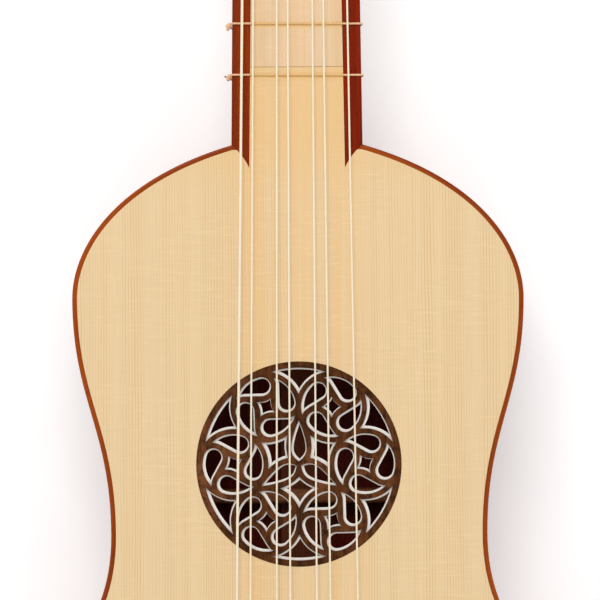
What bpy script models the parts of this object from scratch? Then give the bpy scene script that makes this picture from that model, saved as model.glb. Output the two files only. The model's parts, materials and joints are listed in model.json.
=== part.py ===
"""Renaissance guitar: seven gut strings in four courses, nine tied frets, seven pegs.

The guitar lies on its flat back. Y runs from the bridge to the peghead, X to the
treble side and Z up through the soundboard. The origin is on the outside of the back,
below the bridge's front edge, where the sounding length of the strings begins.
"""

import math

import bmesh
import bpy
from mathutils import Matrix, Vector

# Clearances
GLUE_GAP = 0.0003
RUNNING_GAP = 0.0003
CORD_GAP = 0.00045

# Body outline, right half, with its stations measured from the bridge
STRING_LENGTH = 0.540
SHOULDER_Y = 0.295
UPPER_BOUT_Y = 0.238
WAIST_Y = 0.150
LOWER_BOUT_Y = 0.050
TAIL_Y = -0.072
UPPER_BOUT_WIDTH = 0.168
WAIST_WIDTH = 0.140
LOWER_BOUT_WIDTH = 0.206
SHOULDER_SLOPE = math.radians(16.3)
SHOULDER_REACH = 0.047
UPPER_REACH = 0.018
UPPER_TO_WAIST_REACH = 0.038
WAIST_REACH = 0.040
WAIST_TO_LOWER_REACH = 0.044
LOWER_REACH = 0.052
LOWER_TO_TAIL_REACH = 0.070
TAIL_REACH = 0.064

# Soundbox walls
BODY_DEPTH = 0.066
BACK_THICKNESS = 0.0025
BACK_EDGE_ROUND = 0.0008
RIB_THICKNESS = 0.0018
TOP_THICKNESS = 0.0022
BINDING_WIDTH = 0.0018
BINDING_HEIGHT = 0.0028
BINDING_ROUND = 0.0007

# Inside the soundbox
LINING_WIDTH = 0.005
LINING_HEIGHT = 0.012
NECK_BLOCK_INSET = 0.0029
NECK_BLOCK_DEPTH = 0.020
TAIL_BLOCK_HALF = 0.022
TAIL_BLOCK_DEPTH = 0.012
BAR_WIDTH = 0.006
BAR_HEIGHT = 0.013
BAR_END_HEIGHT = 0.005
BAR_END_LENGTH = 0.024
TOP_BAR_HIGH_Y = 0.250
TOP_BAR_MIDDLE_Y = 0.126
TOP_BAR_LOW_Y = 0.062
BACK_BAR_WIDTH = 0.0055
BACK_BAR_HIGH_Y = 0.238
BACK_BAR_MIDDLE_Y = 0.1612
BACK_BAR_LOW_Y = 0.060
BACK_STRIP_WIDTH = 0.014
BACK_STRIP_THICKNESS = 0.0018

# Neck, fingerboard and the dark strips whose points run on to the soundboard
NECK_WIDTH_AT_BODY = 0.0488
NECK_WIDTH_AT_NUT = 0.0431
NECK_DEPTH_AT_BODY = 0.0190
NECK_DEPTH_AT_NUT = 0.0155
NECK_SIDE_HEIGHT = 0.002
HEEL_LENGTH = 0.021
HEEL_FOOT_Z = 0.004
STRIP_WIDTH_AT_BODY = 0.0067
STRIP_WIDTH_AT_NUT = 0.0073
STRIP_EDGE_ROUND = 0.0006
BEARD_LENGTH = 0.0085
BEARD_RADIUS = 0.023
TONGUE_LENGTH = 0.0289
NUT_LENGTH = 0.005
NUT_RISE = 0.0024

# Peghead and pegs
HEAD_TILT = math.radians(9.0)
HEAD_DROP = 0.0005
HEAD_LENGTH = 0.136
HEAD_WIDTH = 0.058
HEAD_END_WIDTH = 0.052
HEAD_FLARE_LENGTH = 0.025
HEAD_END_ARCH = 0.009
HEAD_THICKNESS = 0.014
VENEER_THICKNESS = 0.002
PEG_ROW_HALF = 0.021
PEG_FIRST = 0.032
PEG_SPACING = 0.027
PEG_STAGGER = 0.0135
PEG_REAR_RADIUS = 0.0037
PEG_TAPER = 1.0 / 60.0
PEG_FRONT_LENGTH = 0.0115
PEG_REAR_LENGTH = 0.0250
PEG_HANDLE_HALF = 0.0090
PEG_HANDLE_FLATNESS = 0.40
PEG_SIDES = 12

# Bridge
BRIDGE_DEPTH = 0.011
BRIDGE_HEIGHT = 0.0085
BRIDGE_BLOCK_HALF = 0.0320
BRIDGE_WING_HALF = 0.0510
BRIDGE_WING_HEIGHT = 0.0030
BRIDGE_STRING_Z = 0.0050

# Strings, from the bass side: three pairs and a single treble
COURSES_AT_BRIDGE = (-0.02245, -0.00645, 0.00938, 0.02315)
COURSES_AT_NUT = (-0.01560, -0.00450, 0.00727, 0.01660)
PAIR_GAP_AT_BRIDGE = 0.0056
PAIR_GAP_AT_NUT = 0.0032
BASS_DIAMETER = 0.0010
STRING_DIAMETER = 0.0007
NUT_ACTION = 0.0016
WINDING_TURNS = 2
WINDING_POINTS = 14
WINDING_START = 0.0034
STRING_END_LENGTH = 0.0025

# Tied frets
FRET_DIAMETER = 0.0008
FRET_LAP = 0.00135
FRET_HEEL_CLEARANCE = 0.003
KNOT_TAIL = 0.0019

# Rose: an upper tracery of wood over a lower one of parchment
ROSE_RADIUS = 0.03815
ROSE_CENTRE_Y = 0.1762
ROSE_RING = 0.0023
ROSE_RECESS = 0.0003
ROSE_UPPER_THICKNESS = 0.0010
ROSE_LOWER_THICKNESS = 0.0006
TRACERY_WIDTH = 0.00183
MOUCHETTE_HEAD = 0.00353
MOUCHETTE_STRIP = 0.00196
MOUCHETTE_TURN = math.radians(41.0)
STAR_RADIUS = 0.00404
STAR_HOLLOW = 0.00022
LEAF_RADIUS = 0.00308
LEAF_CENTRE = 0.00549
LEAF_ROOT = 0.00077
LEAF_BULGE = 0.00077
LOZENGE_ROOT = 0.00465
LOZENGE_SIDE_X = 0.00900
LOZENGE_SIDE_Y = 0.00736
LOZENGE_HOLLOW = 0.00066
PARCHMENT_BORDER = 0.00075
PARCHMENT_SHIFT = Vector((0.0004, 0.00025))
ROSE_ARC_STEP = math.radians(34.0)

# Levels and places that follow from the sizes above
TOP_UNDERSIDE = BODY_DEPTH - TOP_THICKNESS
NECK_TOP = TOP_UNDERSIDE - GLUE_GAP
NUT_Y = STRING_LENGTH
HEAD_Z = BODY_DEPTH - HEAD_DROP
HEAD_Y = NUT_Y + NUT_LENGTH + GLUE_GAP + (HEAD_Z - NECK_TOP) * math.tan(HEAD_TILT)
HEAD_REAR = -(VENEER_THICKNESS + GLUE_GAP + HEAD_THICKNESS)
INSIDE_RIB = RIB_THICKNESS + GLUE_GAP
INSIDE_LINING = INSIDE_RIB + LINING_WIDTH + GLUE_GAP
NECK_BLOCK_HALF = NECK_WIDTH_AT_BODY / 2.0 - NECK_BLOCK_INSET
TOP_BAR_STATIONS = (TOP_BAR_HIGH_Y, TOP_BAR_MIDDLE_Y, TOP_BAR_LOW_Y)
BACK_BAR_STATIONS = (BACK_BAR_HIGH_Y, BACK_BAR_MIDDLE_Y, BACK_BAR_LOW_Y)


def clear_scene():
    for item in list(bpy.data.objects):
        bpy.data.objects.remove(item, do_unlink=True)


def finish(name, colour, roughness, metallic=0.0):
    material = bpy.data.materials.new(name)
    material.use_nodes = True
    shader = material.node_tree.nodes["Principled BSDF"]
    shader.inputs["Base Color"].default_value = (*colour, 1.0)
    shader.inputs["Roughness"].default_value = roughness
    shader.inputs["Metallic"].default_value = metallic
    material.diffuse_color = (*colour, 1.0)
    return material


def add_object(name, data, material):
    item = bpy.data.objects.new(name, data)
    bpy.context.scene.collection.objects.link(item)
    item.data.materials.clear()
    item.data.materials.append(material)
    return item


def mesh_object(name, mesh, material, sharp=math.radians(35.0)):
    bmesh.ops.recalc_face_normals(mesh, faces=mesh.faces[:])
    data = bpy.data.meshes.new(name)
    mesh.to_mesh(data)
    mesh.free()
    data.shade_smooth()
    data.set_sharp_from_angle(angle=sharp)
    return add_object(name, data, material)


def loft_mesh(rings):
    """A closed body through rings of points, each ring with the same count."""
    mesh = bmesh.new()
    rows = [[mesh.verts.new(point) for point in ring] for ring in rings]
    count = len(rows[0])
    for lower, upper in zip(rows, rows[1:]):
        for i in range(count):
            j = (i + 1) % count
            mesh.faces.new((lower[i], lower[j], upper[j], upper[i]))
    mesh.faces.new(list(reversed(rows[0])))
    mesh.faces.new(rows[-1])
    return mesh


def loft(name, rings, material):
    return mesh_object(name, loft_mesh(rings), material)


def prism(name, outline, low, high, material):
    rings = [[Vector((p[0], p[1], z)) for p in outline] for z in (low, high)]
    return loft(name, rings, material)


def pierced_plate(name, outline, holes, low, high, material):
    """A flat plate between two levels, with holes right through it."""
    mesh = bmesh.new()
    edges = []
    for loop in [outline] + holes:
        corners = [mesh.verts.new((p[0], p[1], low)) for p in loop]
        for i, corner in enumerate(corners):
            edges.append(mesh.edges.new((corner, corners[(i + 1) % len(corners)])))
    bmesh.ops.triangle_fill(mesh, edges=edges, use_beauty=True)
    grown = bmesh.ops.extrude_face_region(mesh, geom=mesh.faces[:])
    raised = [part for part in grown["geom"] if isinstance(part, bmesh.types.BMVert)]
    bmesh.ops.translate(mesh, verts=raised, vec=(0.0, 0.0, high - low))
    return mesh_object(name, mesh, material)


def join_meshes(pieces):
    """One mesh from several separate ones, for use as a single cutter."""
    whole = bmesh.new()
    for piece in pieces:
        scratch = bpy.data.meshes.new("scratch")
        bmesh.ops.recalc_face_normals(piece, faces=piece.faces[:])
        piece.to_mesh(scratch)
        piece.free()
        whole.from_mesh(scratch)
        bpy.data.meshes.remove(scratch)
    return whole


def cut(target, cutter_mesh):
    """Take the cutter's volume out of the target and drop the cutter."""
    material = target.data.materials[0]
    cutter = mesh_object("cutter", cutter_mesh, material)
    modifier = target.modifiers.new("cut", "BOOLEAN")
    modifier.operation = "DIFFERENCE"
    modifier.solver = "EXACT"
    modifier.object = cutter
    bpy.context.view_layer.update()
    view = target.evaluated_get(bpy.context.evaluated_depsgraph_get())
    result = bpy.data.meshes.new_from_object(view)
    target.modifiers.clear()
    target.data = result
    target.data.materials.clear()
    target.data.materials.append(material)
    bpy.data.objects.remove(cutter, do_unlink=True)
    target.data.shade_smooth()
    target.data.set_sharp_from_angle(angle=math.radians(35.0))


def cord(name, points, diameter, material, swell=None):
    """A round cord along a route; swell gives some points a larger radius."""
    data = bpy.data.curves.new(name, "CURVE")
    data.dimensions = "3D"
    data.bevel_depth = diameter / 2.0
    data.bevel_resolution = 1
    data.use_fill_caps = True
    spline = data.splines.new("POLY")
    spline.points.add(len(points) - 1)
    for i, point in enumerate(points):
        spline.points[i].co = (*point, 1.0)
        spline.points[i].radius = swell.get(i, 1.0) if swell else 1.0
    return add_object(name, data, material)


def least_gap(points, diameter):
    """The least gap between stretches of a cord that aren't neighbours."""
    along = [0.0]
    for first, second in zip(points, points[1:]):
        along.append(along[-1] + (second - first).length)
    least = math.inf
    for i, first in enumerate(points):
        for j in range(i + 1, len(points)):
            if along[j] - along[i] > 4.0 * diameter:
                least = min(least, (points[j] - first).length - diameter)
    return least


def arc(centre, radius, start, end, step):
    """Points along an arc, both ends included."""
    count = max(1, math.ceil(abs(end - start) / step))
    points = []
    for i in range(count + 1):
        angle = start + (end - start) * i / count
        points.append(centre + radius * Vector((math.cos(angle), math.sin(angle))))
    return points


def heading(vector):
    return math.atan2(vector.y, vector.x)


def circles_meet(first, first_radius, second, second_radius, near):
    """The crossing of two circles that lies nearer to a given point."""
    apart = second - first
    distance = apart.length
    reach = (first_radius**2 - second_radius**2 + distance**2) / (2.0 * distance)
    rise = math.sqrt(max(0.0, first_radius**2 - reach**2))
    along = apart / distance
    across = Vector((-along.y, along.x))
    middle = first + along * reach
    return min((middle + across * rise, middle - across * rise), key=lambda p: (p - near).length)


# Body outline
def bezier(p0, p1, p2, p3, t):
    s = 1.0 - t
    point = p0 * s**3 + p1 * (3 * s * s * t) + p2 * (3 * s * t * t) + p3 * t**3
    slope = (p1 - p0) * s * s + (p2 - p1) * (2 * s * t) + (p3 - p2) * t * t
    return point, slope.normalized()


def outline_stations():
    """Points of the half outline from the neck to the tail, each with its outward normal."""
    neck = Vector((NECK_WIDTH_AT_BODY / 2, SHOULDER_Y))
    upper = Vector((UPPER_BOUT_WIDTH / 2, UPPER_BOUT_Y))
    waist = Vector((WAIST_WIDTH / 2, WAIST_Y))
    lower = Vector((LOWER_BOUT_WIDTH / 2, LOWER_BOUT_Y))
    tail = Vector((0.0, TAIL_Y))
    leave = Vector((math.cos(SHOULDER_SLOPE), -math.sin(SHOULDER_SLOPE))) * SHOULDER_REACH
    up = Vector((0.0, 1.0))
    pieces = (
        (neck, neck + leave, upper + up * UPPER_REACH, upper, 8),
        (upper, upper - up * UPPER_TO_WAIST_REACH, waist + up * WAIST_REACH, waist, 8),
        (waist, waist - up * WAIST_TO_LOWER_REACH, lower + up * LOWER_REACH, lower, 9),
        (lower, lower - up * LOWER_TO_TAIL_REACH, tail + Vector((TAIL_REACH, 0.0)), tail, 13),
    )
    stations = []
    for p0, p1, p2, p3, steps in pieces:
        for i in range(steps + (p3 is tail)):
            point, slope = bezier(p0, p1, p2, p3, i / steps)
            stations.append((point, Vector((-slope.y, slope.x))))
    return stations


OUTLINE = outline_stations()
OUTLINE_END = len(OUTLINE) - 1


def edge_point(place, inset):
    """A point on the half outline, drawn in by an inset; whole places are stations."""
    index = min(int(place), OUTLINE_END - 1)
    share = place - index
    ends = [OUTLINE[i][0] - OUTLINE[i][1] * inset for i in (index, index + 1)]
    return ends[0].lerp(ends[1], share)


def front_corner(inset):
    """Where the drawn-in shoulder meets the drawn-in straight edge behind the neck."""
    turn = SHOULDER_SLOPE / 2.0
    return Vector((NECK_WIDTH_AT_BODY / 2 - inset * math.tan(turn), SHOULDER_Y - inset))


def half_outline(inset):
    """The half outline from the middle of the shoulder edge round to the tail."""
    path = [Vector((0.0, SHOULDER_Y - inset)), front_corner(inset)]
    path += [edge_point(i, inset) for i in range(1, OUTLINE_END + 1)]
    return path


def whole_outline(inset):
    half = half_outline(inset)
    return half + [Vector((-p.x, p.y)) for p in reversed(half[1:-1])]


def place_at_x(x, inset, low, high):
    """The place on the half outline, between two others, where X has a given value."""
    rising = edge_point(high, inset).x > edge_point(low, inset).x
    for _ in range(50):
        middle = (low + high) / 2.0
        if (edge_point(middle, inset).x < x) == rising:
            low = middle
        else:
            high = middle
    return (low + high) / 2.0


def half_width(y, inset):
    """Half the width inside a wall at a station along the body."""
    path = half_outline(inset)
    for upper, lower in zip(path[1:], path[2:]):
        if lower.y <= y <= upper.y:
            return upper.lerp(lower, (upper.y - y) / (upper.y - lower.y)).x
    return path[1].x


def wall(name, side, outer, inner, section, material):
    """A wall along one side of the body, with the same section all the way."""
    rings = []
    for out, inn in zip(outer, inner):
        across = out - inn
        ring = []
        for share, z in section(across.length):
            point = inn + across * share
            ring.append(Vector((side * max(point.x, GLUE_GAP / 2.0), point.y, z)))
        rings.append(ring)
    return loft(name, rings, material)


def plain_section(low, high):
    return lambda width: ((0.0, low), (1.0, low), (1.0, high), (0.0, high))


def rounded_section(low, high, radius):
    def section(width):
        points = [(0.0, low), (1.0, low)]
        for i in range(3):
            angle = math.radians(45.0 * i)
            points.append(
                (1.0 - radius * (1.0 - math.cos(angle)) / width, high - radius * (1.0 - math.sin(angle)))
            )
        return points + [(0.0, high)]

    return section


def sloped_section(low, high, narrow_low):
    """A lining's section, planed away on its inner side at the end far from its plate."""
    if narrow_low:
        return lambda width: ((0.6, low), (1.0, low), (1.0, high), (0.0, high))
    return lambda width: ((0.0, low), (1.0, low), (1.0, high), (0.6, high))


# Neck sizes along its length
def neck_share(y):
    return (y - SHOULDER_Y) / (NUT_Y - SHOULDER_Y)


def neck_half(y):
    return (NECK_WIDTH_AT_BODY + (NECK_WIDTH_AT_NUT - NECK_WIDTH_AT_BODY) * neck_share(y)) / 2.0


def strip_inner(y):
    width = STRIP_WIDTH_AT_BODY + (STRIP_WIDTH_AT_NUT - STRIP_WIDTH_AT_BODY) * neck_share(y)
    return neck_half(y) - width


def neck_depth(y):
    plain = NECK_DEPTH_AT_BODY + (NECK_DEPTH_AT_NUT - NECK_DEPTH_AT_BODY) * neck_share(y)
    into_heel = max(0.0, 1.0 - (y - SHOULDER_Y) / HEEL_LENGTH)
    return plain + (NECK_TOP - HEEL_FOOT_Z - plain) * into_heel**2.5


def neck_underside(y, clearance):
    """Points round the underside of the neck, from the treble side to the bass side."""
    half = neck_half(y) + clearance
    side_z = NECK_TOP - NECK_SIDE_HEIGHT
    depth = neck_depth(y) - NECK_SIDE_HEIGHT + clearance
    angles = [math.pi * i / 10 for i in range(11)]
    return [Vector((half * math.cos(a), y, side_z - depth * math.sin(a))) for a in angles]


# Soundbox
def build_soundbox(woods):
    whole = whole_outline(0.0)
    back = prism("back", whole, 0.0, BACK_THICKNESS, woods["back"])
    edge = back.modifiers.new("eased edge", "BEVEL")
    edge.width = BACK_EDGE_ROUND
    edge.segments = 1
    edge.limit_method = "ANGLE"
    edge.angle_limit = math.radians(60.0)

    rib_low = BACK_THICKNESS + GLUE_GAP
    rib_high = BODY_DEPTH - BINDING_HEIGHT - GLUE_GAP
    top_low = TOP_UNDERSIDE - GLUE_GAP
    lining_front = place_at_x(NECK_BLOCK_HALF + GLUE_GAP, INSIDE_RIB + LINING_WIDTH, 0.0, 4.0)
    lining_tail = place_at_x(
        TAIL_BLOCK_HALF + GLUE_GAP, INSIDE_RIB + LINING_WIDTH, OUTLINE_END - 6.0, OUTLINE_END
    )
    lining_places = [lining_front]
    lining_places += range(math.floor(lining_front) + 1, math.ceil(lining_tail))
    lining_places.append(lining_tail)
    places = range(OUTLINE_END + 1)

    for side, label in ((-1.0, "bass"), (1.0, "treble")):
        wall(
            "rib_" + label,
            side,
            half_outline(0.0),
            half_outline(RIB_THICKNESS),
            plain_section(rib_low, rib_high),
            woods["rib"],
        )
        outer = [edge_point(i, 0.0) for i in places]
        inner = [edge_point(i, BINDING_WIDTH) for i in places]
        binding = wall(
            "binding_" + label,
            side,
            [Vector((strip_inner(SHOULDER_Y), SHOULDER_Y))] + outer,
            [Vector((strip_inner(SHOULDER_Y), SHOULDER_Y - BINDING_WIDTH))] + inner,
            rounded_section(BODY_DEPTH - BINDING_HEIGHT, BODY_DEPTH, BINDING_ROUND),
            woods["binding"],
        )
        cut(binding, strip_cutter(side))
        outer = [edge_point(u, INSIDE_RIB) for u in lining_places]
        inner = [edge_point(u, INSIDE_RIB + LINING_WIDTH) for u in lining_places]
        wall(
            "top_lining_" + label,
            side,
            outer,
            inner,
            sloped_section(top_low - LINING_HEIGHT, top_low, True),
            woods["lining"],
        )
        wall(
            "back_lining_" + label,
            side,
            outer,
            inner,
            sloped_section(rib_low, rib_low + LINING_HEIGHT, False),
            woods["lining"],
        )

    front = SHOULDER_Y - INSIDE_RIB
    neck_block = [
        Vector((NECK_BLOCK_HALF, front)),
        Vector((-NECK_BLOCK_HALF, front)),
        Vector((-NECK_BLOCK_HALF, front - NECK_BLOCK_DEPTH)),
        Vector((NECK_BLOCK_HALF, front - NECK_BLOCK_DEPTH)),
    ]
    prism("neck_block", neck_block, rib_low, top_low, woods["block"])

    start = place_at_x(TAIL_BLOCK_HALF, INSIDE_RIB, OUTLINE_END - 6.0, OUTLINE_END)
    curve = [edge_point(start, INSIDE_RIB)]
    curve += [edge_point(i, INSIDE_RIB) for i in range(math.floor(start) + 1, OUTLINE_END)]
    tail_block = curve + [edge_point(OUTLINE_END, INSIDE_RIB)]
    tail_block += [Vector((-p.x, p.y)) for p in reversed(curve)]
    inner_y = TAIL_Y + INSIDE_RIB + TAIL_BLOCK_DEPTH
    tail_block += [Vector((-TAIL_BLOCK_HALF, inner_y)), Vector((TAIL_BLOCK_HALF, inner_y))]
    prism("tail_block", tail_block, rib_low, top_low, woods["block"])

    build_bars(woods, rib_low, top_low, front - NECK_BLOCK_DEPTH, inner_y)


def build_bars(woods, floor, ceiling, front, tail):
    """Transverse bars under the soundboard and on the back, and the strip on the back's seam."""
    strip_half = BACK_STRIP_WIDTH / 2.0
    strip = [
        Vector((strip_half, front - GLUE_GAP)),
        Vector((-strip_half, front - GLUE_GAP)),
        Vector((-strip_half, tail + GLUE_GAP)),
        Vector((strip_half, tail + GLUE_GAP)),
    ]
    prism("back_strip", strip, floor, floor + BACK_STRIP_THICKNESS, woods["back_bar"])
    notch = (strip_half + GLUE_GAP, BACK_STRIP_THICKNESS + GLUE_GAP)
    for i, y in enumerate(TOP_BAR_STATIONS):
        bar("top_bar_%d" % (i + 1), y, BAR_WIDTH, ceiling, -1.0, None, woods["bar"])
    for i, y in enumerate(BACK_BAR_STATIONS):
        bar("back_bar_%d" % (i + 1), y, BACK_BAR_WIDTH, floor, 1.0, notch, woods["back_bar"])


def bar(name, y, width, base, rise, notch, material):
    """A bar across the body, glued at its base, with lowered ends and a rounded crest."""
    half = min(half_width(y + s * width / 2.0, INSIDE_LINING) for s in (-1.0, 1.0))
    shoulder = half - BAR_END_LENGTH
    crest = [(half, BAR_END_HEIGHT), (shoulder, BAR_HEIGHT)]
    crest += [(-shoulder, BAR_HEIGHT), (-half, BAR_END_HEIGHT)]
    foot = [(-half, 0.0)]
    if notch:
        foot += [(-notch[0], 0.0), (-notch[0], notch[1]), (notch[0], notch[1]), (notch[0], 0.0)]
    foot.append((half, 0.0))
    rings = []
    for side in (-1.0, 1.0):
        rings.append([Vector((x, y + side * width / 2.0, base + rise * h)) for x, h in foot + crest])
    mesh = loft_mesh(rings)
    mesh.edges.ensure_lookup_table()
    lowest = BAR_END_HEIGHT - GLUE_GAP
    crests = [
        edge
        for edge in mesh.edges
        if all(rise * (v.co.z - base) > lowest for v in edge.verts)
        and abs(edge.verts[0].co.y - edge.verts[1].co.y) < GLUE_GAP
    ]
    bmesh.ops.bevel(
        mesh, geom=crests, offset=width * 0.4, segments=2, profile=0.5, affect="EDGES", clamp_overlap=True
    )
    return mesh_object(name, mesh, material)


# Dark strips, tongue and fingerboard
def beard_centre():
    """Centre of the arc that hollows each point, on the body side of the neck's corner."""
    corner = Vector((neck_half(SHOULDER_Y), SHOULDER_Y))
    tip_y = SHOULDER_Y - BEARD_LENGTH
    tip = Vector((strip_inner(tip_y), tip_y))
    chord = tip - corner
    middle = (corner + tip) / 2.0
    away = Vector((-chord.y, chord.x)).normalized()
    return middle + away * math.sqrt(BEARD_RADIUS**2 - chord.length_squared / 4.0), tip


def strip_outline(grow, top_y):
    """One dark strip in plan on the treble side, grown by a clearance."""
    centre, tip = beard_centre()
    radius = BEARD_RADIUS - grow
    low = SHOULDER_Y - 2.0 * BEARD_LENGTH
    high = SHOULDER_Y
    for _ in range(50):
        y = (low + high) / 2.0
        if (Vector((strip_inner(y) - grow, y)) - centre).length > radius:
            high = y
        else:
            low = y
    point = Vector((strip_inner(high) - grow, high))
    corner = Vector((neck_half(SHOULDER_Y) + grow, SHOULDER_Y))
    start = heading(point - centre)
    end = math.atan2(SHOULDER_Y - centre.y, -math.sqrt(radius**2 - (SHOULDER_Y - centre.y) ** 2))
    if end < 0.0:
        end += 2.0 * math.pi
    if start < 0.0:
        start += 2.0 * math.pi
    outline = [Vector((strip_inner(top_y) - grow, top_y))]
    outline += arc(centre, radius, start, end, (start - end) / 5.0)
    if grow > 0.0:
        outline.append(corner)
    outline.append(Vector((neck_half(top_y) + grow, top_y)))
    return outline


def strip_cutter(side):
    rings = []
    for z in (TOP_UNDERSIDE - BINDING_HEIGHT, BODY_DEPTH + BINDING_HEIGHT):
        plan = strip_outline(GLUE_GAP, SHOULDER_Y + TONGUE_LENGTH * 2.0)
        rings.append([Vector((side * p.x, p.y, z)) for p in plan])
    return loft_mesh(rings)


def build_top(woods):
    edge = BINDING_WIDTH + GLUE_GAP
    tongue_end = SHOULDER_Y + TONGUE_LENGTH
    outline = half_outline(edge)
    treble = []
    for strip_y, y in ((tongue_end, tongue_end), (SHOULDER_Y, SHOULDER_Y - edge)):
        treble.append(Vector(((strip_inner(strip_y) + neck_half(strip_y)) / 2.0, y)))
    treble += outline[1:]
    whole = treble + [Vector((-p.x, p.y)) for p in reversed(treble[:-1])]
    centre = Vector((0.0, ROSE_CENTRE_Y))
    opening = arc(centre, ROSE_RADIUS + GLUE_GAP, 0.0, 2.0 * math.pi, math.radians(7.5))[:-1]
    top = pierced_plate("soundboard", whole, [opening], TOP_UNDERSIDE, BODY_DEPTH, woods["spruce"])
    cut(top, join_meshes([strip_cutter(-1.0), strip_cutter(1.0)]))

    for side, label in ((-1.0, "bass"), (1.0, "treble")):
        plan = strip_outline(0.0, NUT_Y - GLUE_GAP)
        rings = [[Vector((side * p.x, p.y, z)) for p in plan] for z in (TOP_UNDERSIDE, BODY_DEPTH)]
        mesh = loft_mesh(rings)
        outer_edges = [edge for edge in mesh.edges if is_outer_top(edge)]
        bmesh.ops.bevel(
            mesh, geom=outer_edges, offset=STRIP_EDGE_ROUND, segments=2, profile=0.5, affect="EDGES"
        )
        mesh_object("fingerboard_strip_" + label, mesh, woods["strip"])

    start = tongue_end + GLUE_GAP
    end = NUT_Y - GLUE_GAP
    board = [
        Vector((strip_inner(start) - GLUE_GAP, start)),
        Vector((strip_inner(end) - GLUE_GAP, end)),
        Vector((GLUE_GAP - strip_inner(end), end)),
        Vector((GLUE_GAP - strip_inner(start), start)),
    ]
    prism("fingerboard", board, TOP_UNDERSIDE, BODY_DEPTH, woods["board"])


def is_outer_top(edge):
    """Whether an edge of a dark strip is the long one along the neck's side."""
    first, second = (vertex.co for vertex in edge.verts)
    if abs(first.y - second.y) < HEEL_LENGTH:
        return False
    return all(c.z > BODY_DEPTH - GLUE_GAP and abs(c.x) > neck_half(c.y) - GLUE_GAP for c in (first, second))


# Neck and nut
def build_neck(woods):
    heel_shares = (0.0, 0.12, 0.26, 0.42, 0.60, 0.80, 1.0)
    stations = [SHOULDER_Y + GLUE_GAP + (HEEL_LENGTH - GLUE_GAP) * share for share in heel_shares]
    rings = []
    for y in stations:
        half = neck_half(y)
        rings.append([Vector((-half, y, NECK_TOP)), Vector((half, y, NECK_TOP))] + neck_underside(y, 0.0))
    end_y = HEAD_Y - GLUE_GAP / math.cos(HEAD_TILT)
    half = neck_half(end_y)
    end = [Vector((-half, end_y, NECK_TOP)), Vector((half, end_y, NECK_TOP))] + neck_underside(end_y, 0.0)
    for point in end:
        point.y += (point.z - HEAD_Z) * math.tan(HEAD_TILT)
    rings.append(end)
    loft("neck", rings, woods["neck"])

    half = neck_half(NUT_Y)
    low = NECK_TOP + GLUE_GAP
    crest = BODY_DEPTH + NUT_RISE
    profile = [(0.0, low), (NUT_LENGTH, low), (NUT_LENGTH, crest - NUT_RISE / 2.0)]
    profile += [(NUT_LENGTH * 0.6, crest), (NUT_LENGTH * 0.15, crest), (0.0, crest - NUT_RISE / 5.0)]
    rings = [[Vector((x, NUT_Y + y, z)) for y, z in profile] for x in (-half, half)]
    nut = loft("nut", rings, woods["bone"])
    grooves = []
    for string in strings():
        grooves.append(
            round_cutter(
                Vector((string["nut_x"], NUT_Y - NUT_LENGTH, string["nut_z"])),
                Vector((string["nut_x"], NUT_Y + 2.0 * NUT_LENGTH, string["nut_z"])),
                string["diameter"] / 2.0 + RUNNING_GAP,
                8,
                True,
            )
        )
    cut(nut, join_meshes(grooves))


def round_cutter(start, end, radius, sides, open_top=False):
    """A cylinder between two points; with open_top it is a slot that is open upwards."""
    along = (end - start).normalized()
    up = Vector((0.0, 0.0, 1.0)) if abs(along.z) < 0.9 else Vector((0.0, 1.0, 0.0))
    across = along.cross(up).normalized()
    up = across.cross(along)
    grown = radius / math.cos(math.pi / sides)
    ring = []
    for i in range(sides):
        angle = 2.0 * math.pi * (i + 0.5) / sides
        ring.append(across * (grown * math.cos(angle)) + up * (grown * math.sin(angle)))
    if open_top:
        ring = [p + up * NUT_LENGTH if p.dot(up) > 0.0 else p for p in ring]
    return loft_mesh([[start + p for p in ring], [end + p for p in ring]])


# Peghead
def head_empty():
    empty = bpy.data.objects.new("head_plane", None)
    bpy.context.scene.collection.objects.link(empty)
    empty.location = (0.0, HEAD_Y, HEAD_Z)
    empty.rotation_euler = (-HEAD_TILT, 0.0, 0.0)
    bpy.context.view_layer.update()
    return empty


def head_point(x, along, rise):
    """A point given on the peghead's face: across, away from the nut, and above the face."""
    y = HEAD_Y + along * math.cos(HEAD_TILT) + rise * math.sin(HEAD_TILT)
    return Vector((x, y, HEAD_Z - along * math.sin(HEAD_TILT) + rise * math.cos(HEAD_TILT)))


def head_outline():
    near = Vector((NECK_WIDTH_AT_NUT / 2.0, 0.0))
    wide = Vector((HEAD_WIDTH / 2.0, HEAD_FLARE_LENGTH))
    corner = Vector((HEAD_END_WIDTH / 2.0, HEAD_LENGTH - HEAD_END_ARCH))
    top = Vector((0.0, HEAD_LENGTH))
    up = Vector((0.0, HEAD_FLARE_LENGTH * 0.45))
    flare = [bezier(near, near + up, wide - up, wide, i / 6)[0] for i in range(6)]
    arch = Vector((HEAD_END_WIDTH * 0.3, 0.0))
    crown = [bezier(corner, corner + up * 0.4, top + arch, top, i / 6)[0] for i in range(6)]
    half = flare + [wide] + crown
    return half + [top] + [Vector((-p.x, p.y)) for p in reversed(half)]


def peg_radius(rise):
    """The tapered shaft's radius at a level above the peghead's face."""
    return PEG_REAR_RADIUS - (rise - HEAD_REAR) * PEG_TAPER


def peg_places():
    """Peg centres on the peghead for the strings from bass to treble."""
    bass = [(-PEG_ROW_HALF, PEG_FIRST + PEG_SPACING * i) for i in range(4)]
    treble = [(PEG_ROW_HALF, PEG_FIRST + PEG_STAGGER + PEG_SPACING * i) for i in range(3)]
    return bass + list(reversed(treble))


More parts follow.
